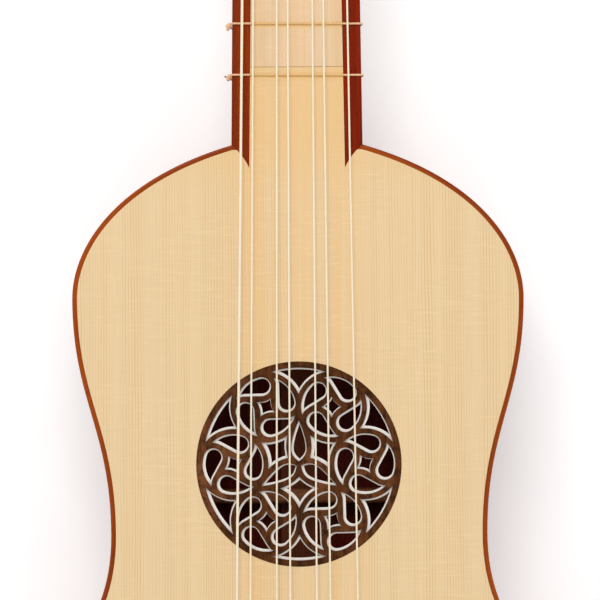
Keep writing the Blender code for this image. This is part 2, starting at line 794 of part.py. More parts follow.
def build_head(woods, empty):
    outline = head_outline()
    levels = (
        ("peghead", HEAD_REAR, HEAD_REAR + HEAD_THICKNESS, woods["neck"]),
        ("peghead_veneer", -VENEER_THICKNESS, 0.0, woods["strip"]),
    )
    for name, low, high, material in levels:
        plate = prism(name, outline, low, high, material)
        holes = []
        for x, along in peg_places():
            rings = []
            for rise in (low - VENEER_THICKNESS, high + VENEER_THICKNESS):
                radius = peg_radius(rise) + RUNNING_GAP / math.cos(math.pi / PEG_SIDES)
                rings.append(ring_at(x, along, rise, radius, radius))
            holes.append(loft_mesh(rings))
        cut(plate, join_meshes(holes))
        plate.parent = empty


def ring_at(x, y, z, across, along):
    ring = []
    for i in range(PEG_SIDES):
        angle = 2.0 * math.pi * (i + 0.5) / PEG_SIDES
        ring.append(Vector((x + across * math.cos(angle), y + along * math.sin(angle), z)))
    return ring


def build_peg(name, string, empty, material):
    """A peg turned on its own axis, with a flattened handle behind the peghead."""
    collar = PEG_REAR_RADIUS * 1.3
    handle = PEG_HANDLE_HALF
    end = HEAD_REAR - PEG_REAR_LENGTH
    length = PEG_REAR_LENGTH
    profile = [
        (end, handle * 0.45, 1.0),
        (end + length * 0.08, handle * 0.85, 1.0),
        (end + length * 0.26, handle, 1.0),
        (end + length * 0.46, handle * 0.86, 1.0),
        (end + length * 0.62, handle * 0.55, 0.8),
        (end + length * 0.72, PEG_REAR_RADIUS * 0.9, 0.0),
        (end + length * 0.76, collar, 0.0),
        (end + length * 0.84, collar, 0.0),
        (end + length * 0.88, peg_radius(HEAD_REAR - length * 0.12), 0.0),
        (PEG_FRONT_LENGTH - RUNNING_GAP * 2, peg_radius(PEG_FRONT_LENGTH), 0.0),
        (PEG_FRONT_LENGTH, peg_radius(PEG_FRONT_LENGTH) - RUNNING_GAP * 2, 0.0),
    ]
    rings = []
    for rise, radius, flat in profile:
        thin = radius * (1.0 - flat * (1.0 - PEG_HANDLE_FLATNESS))
        rings.append(ring_at(0.0, 0.0, rise, thin, radius))
    peg = loft(name, rings, material)
    reach = peg_radius(0.0) * 2.0
    hole_angle = string["hole_angle"]
    across = Vector((math.cos(hole_angle), math.sin(hole_angle), 0.0)) * reach
    middle = Vector((0.0, 0.0, string["hole_rise"]))
    hole = round_cutter(middle - across, middle + across, string["diameter"] / 2.0 + RUNNING_GAP, 8)
    cut(peg, hole)
    peg.parent = empty
    peg.location = (string["peg"][0], string["peg"][1], 0.0)


# Bridge
def build_bridge(woods):
    low = BODY_DEPTH + GLUE_GAP
    slope = []
    for i in range(7):
        share = i / 6
        ease = (1.0 - math.cos(math.pi * share)) / 2.0
        x = BRIDGE_WING_HALF - (BRIDGE_WING_HALF - BRIDGE_BLOCK_HALF) * (0.25 + 0.75 * share)
        slope.append((x, BRIDGE_WING_HEIGHT + (BRIDGE_HEIGHT - BRIDGE_WING_HEIGHT) * ease))
    half = [(BRIDGE_WING_HALF, 0.0), (BRIDGE_WING_HALF, BRIDGE_WING_HEIGHT * 0.8)] + slope
    profile = half + [(-x, h) for x, h in reversed(half)]
    rings = [[Vector((x, y, low + h)) for x, h in profile] for y in (-BRIDGE_DEPTH, 0.0)]
    bridge = loft("bridge", rings, woods["strip"])
    holes = []
    for string in strings():
        start = Vector((string["bridge_x"], BRIDGE_DEPTH, BODY_DEPTH + BRIDGE_STRING_Z))
        end = Vector((string["bridge_x"], -2.0 * BRIDGE_DEPTH, BODY_DEPTH + BRIDGE_STRING_Z))
        holes.append(round_cutter(start, end, string["diameter"] / 2.0 + RUNNING_GAP, 8))
    cut(bridge, join_meshes(holes))


# Strings
def strings():
    """Each string's places at the bridge, nut and peg, from bass to treble."""
    found = []
    pegs = peg_places()
    for course, (at_bridge, at_nut) in enumerate(zip(COURSES_AT_BRIDGE, COURSES_AT_NUT)):
        single = course == len(COURSES_AT_BRIDGE) - 1
        for side in (0.0,) if single else (-0.5, 0.5):
            index = len(found)
            diameter = STRING_DIAMETER if index else BASS_DIAMETER
            pitch = diameter + CORD_GAP
            string = {
                "name": "string_%d" % (index + 1),
                "diameter": diameter,
                "pitch": pitch,
                "bridge_x": at_bridge + side * PAIR_GAP_AT_BRIDGE,
                "nut_x": at_nut + side * PAIR_GAP_AT_NUT,
                "nut_z": BODY_DEPTH + NUT_ACTION + diameter / 2.0,
                "peg": pegs[index],
                "sense": 1.0 if pegs[index][0] < 0.0 else -1.0,
                "hole_rise": WINDING_START + pitch * (WINDING_TURNS + 0.5),
            }
            string["wind_radius"] = peg_radius(0.0) + RUNNING_GAP + diameter / 2.0
            string["touch_angle"] = touch_angle(string)
            string["hole_angle"] = string["touch_angle"]
            found.append(string)
    return found


def touch_angle(string):
    """The angle round the peg at which the string from the nut first touches its winding."""
    from_peg = Vector((string["nut_x"] - string["peg"][0], -string["peg"][1]))
    spread = math.acos(string["wind_radius"] / from_peg.length)
    return heading(from_peg) + string["sense"] * spread


def bridge_tie(string):
    """The end at the bridge: over the top, round its own string, through the hole from behind."""
    x = string["bridge_x"]
    z = BODY_DEPTH + BRIDGE_STRING_Z
    radius = string["diameter"] / 2.0
    turn = string["diameter"] + CORD_GAP
    out = radius + RUNNING_GAP
    top = BODY_DEPTH + GLUE_GAP + BRIDGE_HEIGHT + out
    rear = -BRIDGE_DEPTH - out
    points = [
        (x - turn, rear * 0.5, top),
        (x - turn, out * 0.2, top),
        (x - turn, out + radius, top - out),
        (x - turn, out + radius, z),
        (x - turn * 0.7, out + radius, z - turn * 0.75),
        (x, out + radius, z - turn),
        (x + turn * 0.7, out + radius, z - turn * 0.75),
        (x + turn, out + radius, z),
        (x + turn, out + radius, top - out),
        (x + turn * 0.8, out * 0.2, top),
        (x, rear + out * 0.5, top),
        (x, rear - out * 0.5, top - out),
        (x, rear - out * 0.5, z + out),
        (x, rear + out * 0.5, z),
    ]
    return [Vector(point) for point in points]


def peg_winding(string):
    """Turns round the peg, rising from the face, and the end through the peg's hole."""
    px, along = string["peg"]
    radius = string["wind_radius"]
    turn_angle = 2.0 * math.pi * WINDING_TURNS
    count = WINDING_POINTS * WINDING_TURNS
    points = []
    for i in range(count):
        angle = turn_angle * i / count
        rise = WINDING_START + string["pitch"] * angle / (2.0 * math.pi)
        rise += string["pitch"] * 0.5 * max(0.0, (angle - turn_angle + math.pi) / math.pi)
        place = string["touch_angle"] + string["sense"] * angle
        points.append(
            head_point(px + radius * math.cos(place), along + radius * math.sin(place), rise)
        )
    place = string["hole_angle"]
    bend = radius + RUNNING_GAP * 0.5
    for reach in (bend, radius - string["diameter"], -peg_radius(0.0), -radius - STRING_END_LENGTH):
        points.append(
            head_point(
                px + reach * math.cos(place), along + reach * math.sin(place), string["hole_rise"]
            )
        )
    return points


def build_strings(material):
    clear = RUNNING_GAP * 2.0
    for string in strings():
        speaking = [
            Vector((string["nut_x"], NUT_Y - clear, string["nut_z"])),
            Vector((string["nut_x"], NUT_Y + NUT_LENGTH + clear, string["nut_z"])),
        ]
        winding = peg_winding(string)
        points = bridge_tie(string) + speaking + winding
        cord(string["name"], points, string["diameter"], material)
        gap = least_gap(winding, string["diameter"])
        print("%s least gap in its winding %.2f mm" % (string["name"], gap * 1000.0))


# Tied frets
def fret_stations():
    """Fret places by equal semitones, as far down the neck as the heel allows."""
    limit = SHOULDER_Y + HEEL_LENGTH + FRET_HEEL_CLEARANCE
    places = [STRING_LENGTH / 2.0 ** (n / 12.0) for n in range(1, 13)]
    return [y for y in places if y > limit]


def build_frets(material):
    away = RUNNING_GAP + FRET_DIAMETER / 2.0
    bend = STRIP_EDGE_ROUND + away
    for i, y in enumerate(fret_stations()):
        half = neck_half(y)
        level = BODY_DEPTH + away
        back_y = y - FRET_LAP
        corner = half - STRIP_EDGE_ROUND
        diagonal = bend * math.sqrt(0.5)
        side_z = BODY_DEPTH - STRIP_EDGE_ROUND
        points = [
            Vector((-half - KNOT_TAIL * 0.8, y, level - RUNNING_GAP)),
            Vector((-corner, y, level)),
            Vector((corner, y, level)),
            Vector((corner + diagonal, y, side_z + diagonal)),
            Vector((half + away, y, side_z)),
        ]
        under = neck_underside(y, away)
        for k, point in enumerate(under):
            points.append(point - Vector((0.0, FRET_LAP * k / (len(under) - 1), 0.0)))
        knot = len(points) + 1
        points += [
            Vector((-half - away, back_y, side_z)),
            Vector((-half - away * 1.3, back_y, BODY_DEPTH + FRET_DIAMETER * 0.5)),
            Vector((-half - KNOT_TAIL, back_y - KNOT_TAIL * 0.3, BODY_DEPTH + FRET_DIAMETER)),
            Vector((-half - KNOT_TAIL * 1.1, back_y - KNOT_TAIL * 0.7, BODY_DEPTH + FRET_DIAMETER)),
            Vector((-half - KNOT_TAIL, back_y - KNOT_TAIL, BODY_DEPTH + FRET_DIAMETER)),
            Vector((-half - KNOT_TAIL * 0.95, back_y - KNOT_TAIL * 1.2, BODY_DEPTH + FRET_DIAMETER)),
        ]
        swell = {knot: 1.45, knot + 1: 1.2, knot + 3: 1.6, knot + 4: 1.2}
        cord("fret_%d" % (i + 1), points, FRET_DIAMETER, material, swell)


# Rose
WINDOW_RADIUS = ROSE_RADIUS - ROSE_RING
ROUNDEL_RADIUS = (WINDOW_RADIUS - TRACERY_WIDTH) / 3.0
ROUNDEL_REACH = WINDOW_RADIUS - ROUNDEL_RADIUS


def turned(points, angle, centre):
    rotation = Matrix.Rotation(angle, 2)
    return [centre + rotation @ point for point in points]


def polar(radius, angle):
    return Vector((math.cos(angle), math.sin(angle))) * radius


def mouchette(inset):
    """One curved dagger of a roundel: head, straight flank, hollow towards its neighbour, tip."""
    outer = ROUNDEL_RADIUS - inset
    head = MOUCHETTE_HEAD - inset
    hollow = MOUCHETTE_HEAD + MOUCHETTE_STRIP + inset
    reach = ROUNDEL_RADIUS - MOUCHETTE_HEAD
    own = polar(reach, MOUCHETTE_TURN)
    following = polar(reach, MOUCHETTE_TURN + math.pi / 2.0)
    cosine = (outer**2 + reach**2 - hollow**2) / (2.0 * outer * reach)
    tip_angle = MOUCHETTE_TURN + math.pi / 2.0 - math.acos(cosine)
    tip = polar(outer, tip_angle)
    flank = heading(own - following) - math.asin((hollow + head) / (own - following).length)
    points = arc(Vector((0.0, 0.0)), outer, tip_angle, MOUCHETTE_TURN, ROSE_ARC_STEP)
    around = flank - math.pi / 2.0
    points += arc(own, head, MOUCHETTE_TURN, around, ROSE_ARC_STEP)[1:]
    points += arc(following, hollow, flank + math.pi / 2.0, heading(tip - following), ROSE_ARC_STEP)[:-1]
    return points


def star(inset):
    """The four-pointed star in the middle of a roundel."""
    mid = STAR_RADIUS / math.sqrt(2.0)
    radius = (mid**2 + STAR_HOLLOW**2) / (2.0 * STAR_HOLLOW)
    away = mid - STAR_HOLLOW + radius
    centre = polar(away, math.pi / 4.0)
    grown = radius + inset
    point = Vector((centre.x - math.sqrt(grown**2 - centre.y**2), 0.0))
    start = heading(point - centre)
    end = 2.0 * (-0.75 * math.pi) - start
    if abs(end - start) > math.pi:
        end += 2.0 * math.pi
    side = arc(centre, grown, start, end, abs(end - start) / 3.0)[:-1]
    points = []
    for quarter in range(4):
        points += turned(side, math.pi / 2.0 * quarter, Vector((0.0, 0.0)))
    return points


def spandrel(inset):
    """The three-cornered window between two roundels and the ring, pointing along +X."""
    outer = WINDOW_RADIUS - inset
    side = ROUNDEL_RADIUS + TRACERY_WIDTH + inset
    roundel = polar(ROUNDEL_REACH, -math.pi / 6.0)
    cosine = (outer**2 + ROUNDEL_REACH**2 - side**2) / (2.0 * outer * ROUNDEL_REACH)
    corner_angle = -math.pi / 6.0 + math.acos(cosine)
    corner = polar(outer, corner_angle)
    inner = Vector((roundel.x + math.sqrt(side**2 - roundel.y**2), 0.0))
    lower = arc(roundel, side, heading(inner - roundel), heading(corner - roundel), ROSE_ARC_STEP / 2.0)
    points = lower[:-1]
    points += arc(Vector((0.0, 0.0)), outer, corner_angle, -corner_angle, ROSE_ARC_STEP / 3.0)[:-1]
    points += [Vector((p.x, -p.y)) for p in reversed(lower[1:])]
    return points


def inner_vertex(inset):
    """Where two roundels' inner edges cross, on the axis between them."""
    side = ROUNDEL_RADIUS + TRACERY_WIDTH + inset
    return ROUNDEL_REACH * math.cos(math.pi / 6.0) - math.sqrt(side**2 - (ROUNDEL_REACH / 2.0) ** 2)


def leaf(inset):
    """A leaf along +X: a round middle, swelling sides up to the tip and a blunt root."""
    radius = LEAF_RADIUS - inset
    tip = Vector((inner_vertex(0.0) - 1.6 * inset, 0.0))
    root = Vector((LEAF_ROOT + 1.3 * inset, 0.0))
    middle = Vector((LEAF_CENTRE, 0.0))
    outward = math.asin(radius / (tip.x - LEAF_CENTRE))
    inward = math.asin(radius / (LEAF_CENTRE - root.x))
    upper = arc(middle, radius, math.pi / 2.0 - outward, math.pi / 2.0 + inward, ROSE_ARC_STEP)
    chord = upper[0] - tip
    swell = Vector((chord.y, -chord.x)).normalized() * LEAF_BULGE
    swollen = (tip + upper[0]) / 2.0 + swell
    side = [tip.lerp(swollen, t).lerp(swollen.lerp(upper[0], t), t) for t in (0.0, 0.33, 0.67)]
    upper = side + upper
    return upper + [root] + [Vector((p.x, -p.y)) for p in reversed(upper[1:])]


def lozenge(inset):
    """A large four-pointed window along +X, hollowed on all sides."""
    side = ROUNDEL_RADIUS + TRACERY_WIDTH + inset
    roundel = polar(ROUNDEL_REACH, math.pi / 6.0)
    root = Vector((LOZENGE_ROOT, 0.0))
    corner = Vector((LOZENGE_SIDE_X, LOZENGE_SIDE_Y))
    chord = corner - root
    radius = (chord.length_squared / 4.0 + LOZENGE_HOLLOW**2) / (2.0 * LOZENGE_HOLLOW)
    out = Vector((-chord.y, chord.x)).normalized()
    centre = (root + corner) / 2.0 + out * (radius - LOZENGE_HOLLOW)
    radius += inset
    root = Vector((centre.x + math.sqrt(radius**2 - centre.y**2), 0.0))
    corner = circles_meet(roundel, side, centre, radius, corner)
    vertex = Vector((inner_vertex(inset), 0.0))
    start = heading(vertex - roundel) % (2.0 * math.pi)
    end = heading(corner - roundel) % (2.0 * math.pi)
    upper = arc(roundel, side, start, end, ROSE_ARC_STEP / 2.0)
    start = heading(corner - centre)
    end = heading(root - centre)
    upper += arc(centre, radius, start, end, ROSE_ARC_STEP / 2.0)[1:]
    return upper + [Vector((p.x, -p.y)) for p in reversed(upper[1:-1])]


def rose_windows(inset, shift):
    """All 42 windows of the rose, in the plane of the soundboard."""
    centre = Vector((0.0, ROSE_CENTRE_Y)) + shift
    windows = []
    for k in range(6):
        angle = math.pi / 3.0 * k
        roundel = centre + polar(ROUNDEL_REACH, angle)
        lean = angle - math.pi / 3.0
        for quarter in range(4):
            windows.append(turned(mouchette(inset), lean + math.pi / 2.0 * quarter, roundel))
        windows.append(turned(star(inset), lean, roundel))
        between = angle + math.pi / 6.0
        windows.append(turned(spandrel(inset), between, centre))
        middle = lozenge(inset) if k % 2 == 0 else leaf(inset)
        windows.append(turned(middle, between, centre))
    return windows


def build_rose(woods):
    centre = Vector((0.0, ROSE_CENTRE_Y))
    rim = arc(centre, ROSE_RADIUS, 0.0, 2.0 * math.pi, math.radians(7.5))[:-1]
    high = BODY_DEPTH - ROSE_RECESS
    low = high - ROSE_UPPER_THICKNESS
    none = Vector((0.0, 0.0))
    pierced_plate("rose_upper", rim, rose_windows(0.0, none), low, high, woods["rose"])
    high = low - GLUE_GAP
    low = high - ROSE_LOWER_THICKNESS
    windows = rose_windows(PARCHMENT_BORDER, PARCHMENT_SHIFT)
    pierced_plate("rose_lower", rim, windows, low, high, woods["parchment"])


def build():
    clear_scene()
    woods = {
        "spruce": finish("spruce", (0.86, 0.66, 0.40), 0.45),
        "board": finish("pale_board", (0.80, 0.62, 0.40), 0.40),
        "strip": finish("dark_rosewood", (0.20, 0.045, 0.015), 0.35),
        "binding": finish("red_rosewood", (0.28, 0.07, 0.03), 0.35),
        "rib": finish("red_brown_rib", (0.20, 0.045, 0.018), 0.35),
        "back": finish("red_brown_back", (0.20, 0.045, 0.018), 0.35),
        "neck": finish("maple_neck", (0.50, 0.30, 0.15), 0.40),
        "lining": finish("willow", (0.70, 0.55, 0.36), 0.70),
        "block": finish("lime", (0.68, 0.54, 0.36), 0.70),
        "bar": finish("bar_spruce", (0.74, 0.58, 0.38), 0.65),
        "back_bar": finish("cedar", (0.30, 0.14, 0.07), 0.60),
        "rose": finish("walnut", (0.13, 0.055, 0.020), 0.50),
        "parchment": finish("parchment", (0.85, 0.82, 0.76), 0.60),
        "bone": finish("bone", (0.86, 0.82, 0.70), 0.35),
        "peg": finish("plum", (0.16, 0.06, 0.03), 0.35),
        "gut": finish("gut", (0.86, 0.78, 0.58), 0.35),
        "fret_gut": finish("fret_gut", (0.80, 0.62, 0.38), 0.40),
    }
    build_soundbox(woods)
    build_top(woods)
    build_rose(woods)
    build_neck(woods)
    head = head_empty()
    build_head(woods, head)
    for i, string in enumerate(strings()):
        build_peg("peg_%d" % (i + 1), string, head, woods["peg"])
    build_bridge(woods)
    build_strings(woods["gut"])
    build_frets(woods["fret_gut"])


build()
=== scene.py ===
"""Looks for the renaissance guitar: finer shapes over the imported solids, woods, gut and light.

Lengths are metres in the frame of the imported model: the guitar lies on its flat back, Y runs
from the bridge to the peghead, X to the treble side and Z up through the soundboard.
"""

import json
import math

import bmesh
import bpy
from mathutils import Matrix, Vector


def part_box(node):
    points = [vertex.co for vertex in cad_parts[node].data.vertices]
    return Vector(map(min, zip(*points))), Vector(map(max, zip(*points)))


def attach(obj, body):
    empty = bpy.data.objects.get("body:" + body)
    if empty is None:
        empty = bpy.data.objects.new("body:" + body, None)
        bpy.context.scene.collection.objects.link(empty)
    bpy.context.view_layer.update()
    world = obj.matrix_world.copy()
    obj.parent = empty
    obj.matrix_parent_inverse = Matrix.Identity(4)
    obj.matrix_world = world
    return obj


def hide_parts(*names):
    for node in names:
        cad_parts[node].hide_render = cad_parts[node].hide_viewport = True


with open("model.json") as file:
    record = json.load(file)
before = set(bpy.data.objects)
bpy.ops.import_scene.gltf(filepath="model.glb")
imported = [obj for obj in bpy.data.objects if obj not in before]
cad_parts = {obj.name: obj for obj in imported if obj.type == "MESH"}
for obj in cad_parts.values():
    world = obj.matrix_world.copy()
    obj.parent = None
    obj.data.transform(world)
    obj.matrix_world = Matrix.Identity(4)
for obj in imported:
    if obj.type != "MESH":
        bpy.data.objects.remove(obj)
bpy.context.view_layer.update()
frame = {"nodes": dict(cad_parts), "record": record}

# Joint lines between glued pieces as they show, and the gaps of the solids
JOINT = 0.00004
TONGUE_JOINT = 0.00013
CORD_GAP = 0.00045
RUNNING_GAP = 0.0003
GLUE_GAP = 0.0003

# Body outline, right half
STRING_LENGTH = 0.540
SHOULDER_Y = 0.295
UPPER_BOUT_Y = 0.238
WAIST_Y = 0.150
LOWER_BOUT_Y = 0.050
TAIL_Y = -0.072
UPPER_BOUT_WIDTH = 0.168
WAIST_WIDTH = 0.140
LOWER_BOUT_WIDTH = 0.206
SHOULDER_SLOPE = math.radians(16.3)
SHOULDER_REACH = 0.047
UPPER_REACH = 0.018
UPPER_TO_WAIST_REACH = 0.038
WAIST_REACH = 0.040
WAIST_TO_LOWER_REACH = 0.044
LOWER_REACH = 0.052
LOWER_TO_TAIL_REACH = 0.070
TAIL_REACH = 0.064

# Soundbox
BODY_DEPTH = 0.066
BAR_END_HEIGHT = 0.005
BAR_END_LENGTH = 0.024
BAR_CREST_SHARE = 0.46
BACK_STRIP_WIDTH = 0.014
BACK_STRIP_THICKNESS = 0.0018
BACK_THICKNESS = 0.0025
BACK_EDGE_ROUND = 0.0008
RIB_THICKNESS = 0.0018
TOP_THICKNESS = 0.0022
BINDING_WIDTH = 0.0018
BINDING_HEIGHT = 0.0028
BINDING_ROUND = 0.0007

# Neck, fingerboard and dark strips
NECK_WIDTH_AT_BODY = 0.0488
NECK_WIDTH_AT_NUT = 0.0431
NECK_DEPTH_AT_BODY = 0.0190
NECK_DEPTH_AT_NUT = 0.0155
NECK_SIDE_HEIGHT = 0.002
HEEL_LENGTH = 0.021
HEEL_FOOT_Z = 0.004
STRIP_WIDTH_AT_BODY = 0.0067
STRIP_WIDTH_AT_NUT = 0.0073
STRIP_EDGE_ROUND = 0.0006
BEARD_LENGTH = 0.0085
BEARD_RADIUS = 0.023
TONGUE_LENGTH = 0.0289
NUT_LENGTH = 0.005
NUT_RISE = 0.0024

# Peghead and pegs
HEAD_TILT = math.radians(9.0)
HEAD_DROP = 0.0005
HEAD_LENGTH = 0.136
HEAD_WIDTH = 0.058
HEAD_END_WIDTH = 0.052
HEAD_FLARE_LENGTH = 0.025
HEAD_END_ARCH = 0.009
HEAD_THICKNESS = 0.014
VENEER_THICKNESS = 0.002
PEG_ROW_HALF = 0.021
PEG_FIRST = 0.032
PEG_SPACING = 0.027
PEG_STAGGER = 0.0135
PEG_REAR_RADIUS = 0.0037
PEG_TAPER = 1.0 / 60.0
PEG_FRONT_LENGTH = 0.0115
PEG_REAR_LENGTH = 0.0250
PEG_HANDLE_HALF = 0.0090
PEG_HANDLE_FLATNESS = 0.40

# A peg's turned profile: share of its length from the end, share of a radius, and flatness
PEG_HANDLE = (
    (0.0, 0.10, 1.0),
    (0.008, 0.30, 1.0),
    (0.035, 0.62, 1.0),
    (0.10, 0.86, 1.0),
    (0.19, 0.97, 1.0),
    (0.28, 1.0, 1.0),
    (0.37, 0.96, 1.0),
    (0.46, 0.86, 1.0),
    (0.55, 0.70, 0.92),
    (0.62, 0.55, 0.8),
)
PEG_COLLAR = (
    (0.68, 1.02, 0.35),
    (0.73, 0.88, 0.0),
    (0.755, 1.196, 0.0),
    (0.77, 1.3, 0.0),
    (0.80, 1.3, 0.0),
    (0.815, 1.17, 0.0),
    (0.83, 1.261, 0.0),
    (0.85, 1.261, 0.0),
    (0.875, 1.092, 0.0),
)
PEG_COLLAR_END = 0.90
PEG_SIDES = 36

# Bridge
BRIDGE_DEPTH = 0.011
BRIDGE_HEIGHT = 0.0085
BRIDGE_BLOCK_HALF = 0.0320
BRIDGE_WING_HALF = 0.0510
BRIDGE_WING_HEIGHT = 0.0030
BRIDGE_STRING_Z = 0.0050

# Strings, from the bass side: three pairs and a single treble
COURSES_AT_BRIDGE = (-0.02245, -0.00645, 0.00938, 0.02315)
COURSES_AT_NUT = (-0.01560, -0.00450, 0.00727, 0.01660)
PAIR_GAP_AT_BRIDGE = 0.0056
PAIR_GAP_AT_NUT = 0.0032
BASS_DIAMETER = 0.0010
STRING_DIAMETER = 0.0007
NUT_ACTION = 0.0016
WINDING_TURNS = 2
WINDING_START = 0.0034
STRING_END_LENGTH = 0.0025
STRING_SIDES = 12
CORD_END_RISE = 0.6

# Room round a string in its holes and grooves, and round a peg in the peghead
STRING_HOLE_ROOM = 0.00015
NUT_GROOVE_ROOM = 0.00012
PEG_HOLE_ROOM = 0.00005

# Tied frets
FRET_DIAMETER = 0.0008
FRET_LAP = 0.00135
FRET_HEEL_CLEARANCE = 0.003
FRET_SIDES = 14
FRET_SEAT = 0.00003
FRET_SLANT = 0.0003
FRET_SLACK = 0.00018

# A fret's knot: way out past the neck, way back from the fret, rise and swell
KNOT_STEPS = 3
FRET_KNOT = (
    (0.0005, 0.0009, -0.0004, 1.1),
    (0.0006, 0.0002, 0.0001, 1.30),
    (0.0010, 0.0005, 0.0002, 1.90),
    (0.0012, 0.0009, 0.0001, 2.20),
    (0.0013, 0.0014, 0.0000, 1.60),
    (0.0013, 0.0019, -0.0001, 1.75),
    (0.0013, 0.00205, -0.0001, 1.50),
)
FRET_TAIL = 0.0006
FRET_TAIL_RADIUS = FRET_DIAMETER * 0.42
FRET_TAIL_ROW = -4
FRET_BURN = 0.0009
# Golden band beside the two lowest frets, partly wax and partly painted light through the gut: half width,
# and shift to the shaded tail side
FRET_WAX_AND_GLOW = 0.0005
FRET_WAX_AND_GLOW_SHIFT = 0.0006

# Rose: the wooden tracery, and how far the parchment's windows lie inside the wooden ones
ROSE_RADIUS = 0.03815
ROSE_CENTRE = Vector((0.0, 0.1762))
ROSE_RING = 0.0023
ROSE_RECESS = 0.0003
ROSE_UPPER_THICKNESS = 0.0010
ROSE_LOWER_THICKNESS = 0.0006
TRACERY_WIDTH = 0.00183
MOUCHETTE_HEAD = 0.00353
MOUCHETTE_STRIP = 0.00196
MOUCHETTE_TURN = math.radians(41.0)
STAR_RADIUS = 0.00404
STAR_HOLLOW = 0.00066
LEAF_HALF = 0.00286
LEAF_WIDEST = 0.0057
LEAF_ROOT = 0.00095
LOZENGE_ROOT = 0.00465
LOZENGE_SIDE_X = 0.00900
LOZENGE_SIDE_Y = 0.00736
LOZENGE_HOLLOW = 0.00066
MIDDLE_OF_ROSE = Vector((0.0, 0.0))
PARCHMENT_BORDER = 0.00076
STAR_BORDER = 0.00046
LOZENGE_BORDER = 0.00092
LEAF_BORDER = 0.00062
PARCHMENT_SHIFT = Vector((0.00031, 0.00019))
TRACERY_EDGE = 0.00010

# Levels and places that follow from the sizes above
TOP_UNDERSIDE = BODY_DEPTH - TOP_THICKNESS
NECK_TOP = TOP_UNDERSIDE - GLUE_GAP
NUT_Y = STRING_LENGTH
HEAD_Z = BODY_DEPTH - HEAD_DROP
HEAD_Y = NUT_Y + NUT_LENGTH + GLUE_GAP + (HEAD_Z - NECK_TOP) * math.tan(HEAD_TILT)
HEAD_REAR = -(VENEER_THICKNESS + GLUE_GAP + HEAD_THICKNESS)
HEAD_PLANE = Matrix.Translation((0.0, HEAD_Y, HEAD_Z)) @ Matrix.Rotation(-HEAD_TILT, 4, "X")
RIB_LOW = BACK_THICKNESS + JOINT
RIB_HIGH = BODY_DEPTH - BINDING_HEIGHT - JOINT
NODE_BODY = {n: b for b, ns in frame["record"]["behaviour"]["bodies"].items() for n in ns}


# Materials
class Graph:
    """A helper that adds shader nodes to a new material or world and joins them."""

    def __init__(self, name, kind=bpy.data.materials):
        self.owner = kind.new(name)
        self.owner.use_nodes = True
        self.tree = self.owner.node_tree
        self.shader = self.tree.nodes.get("Principled BSDF")

    def join(self, source, socket):
        if isinstance(source, bpy.types.NodeSocket):
            self.tree.links.new(source, socket)
        else:
            socket.default_value = source

    def node(self, kind, inputs=None, **settings):
        made = self.tree.nodes.new("ShaderNode" + kind)
        for key, value in settings.items():
            setattr(made, key, value)
        for key, value in (inputs or {}).items():
            self.join(value, made.inputs[key])
        return made

    def math(self, operation, first, second=0.0):
        return self.node("Math", {0: first, 1: second}, operation=operation).outputs[0]

    def times(self, first, second):
        return self.math("MULTIPLY", first, second)

    def plus(self, total, *terms):
        for term in terms:
            total = self.math("ADD", total, term)
        return total

    def swing(self, value, amount):
        """How far a value lies from its middle, 0.5, times an amount."""
        return self.times(self.math("SUBTRACT", value, 0.5), amount)

    def split(self, vector):
        return self.node("SeparateXYZ", {0: vector}).outputs

    def noise(self, vector, scale, detail=2.0, roughness=0.5, distortion=0.0):
        inputs = {
            "Vector": self.node("VectorMath", {0: vector, 1: scale}, operation="MULTIPLY").outputs[0],
            "Scale": 1.0,
            "Detail": detail,
            "Roughness": roughness,
            "Distortion": distortion,
        }
        return self.node("TexNoise", inputs).outputs["Fac"]

    def spread(self, value, low, high, to_low=0.0, to_high=1.0):
        inputs = {"Value": value, 1: low, 2: high, 3: to_low, 4: to_high}
        return self.node("MapRange", inputs, interpolation_type="SMOOTHSTEP").outputs[0]

    def patches(self, vector, scale, low, high, to_low=0.0, to_high=1.0, detail=2.0, roughness=0.5):
        """Noise between two of its levels, spread from one value to another."""
        return self.spread(self.noise(vector, scale, detail, roughness), low, high, to_low, to_high)

    def levels(self, value, *stops):
        """Grey levels along a value, through stops of place and level."""
        made = self.node("ValToRGB", {"Fac": value})
        ramp = made.color_ramp
        while len(ramp.elements) < len(stops):
            ramp.elements.new(0.5)
        for element, (place, level) in zip(ramp.elements, stops):
            element.position = place
            element.color = (level, level, level, 1.0)
        return made.outputs["Color"]

    def blend(self, share, first, second):
        made = self.node("Mix", {0: share}, data_type="RGBA")
        for value, socket in ((first, made.inputs[6]), (second, made.inputs[7])):
            self.join((*value, 1.0) if isinstance(value, tuple) else value, socket)
        return made.outputs[2]

    def finish(self, colour, roughness, height=None, depth=0.0, **fixed):
        self.join(colour, self.shader.inputs["Base Color"])
        self.join(roughness, self.shader.inputs["Roughness"])
        if height is not None:
            bump = self.node("Bump", {"Height": height, "Distance": depth, "Strength": 1.0})
            self.join(bump.outputs[0], self.shader.inputs["Normal"])
        for key, value in fixed.items():
            self.shader.inputs[key.replace("_", " ")].default_value = value
        return self.owner


def rgb(red, green, blue):
    """A screen colour in the renderer's linear values."""
    return tuple(((c / 255.0 + 0.055) / 1.055) ** 2.4 if c > 10 else c / 3294.6 for c in (red, green, blue))


def tint(colour, *factors, lift=0.0):
    """A colour times one factor, or one for each channel, with some light added."""
    return tuple(min(1.0, c * k + lift) for c, k in zip(colour, factors * (3 // len(factors))))


def grain_place(graph):
    """Coordinates of the wood before it was bent or tilted: X and Z across the grain, Y along it."""
    return graph.node("Attribute", attribute_name="grain").outputs["Vector"]


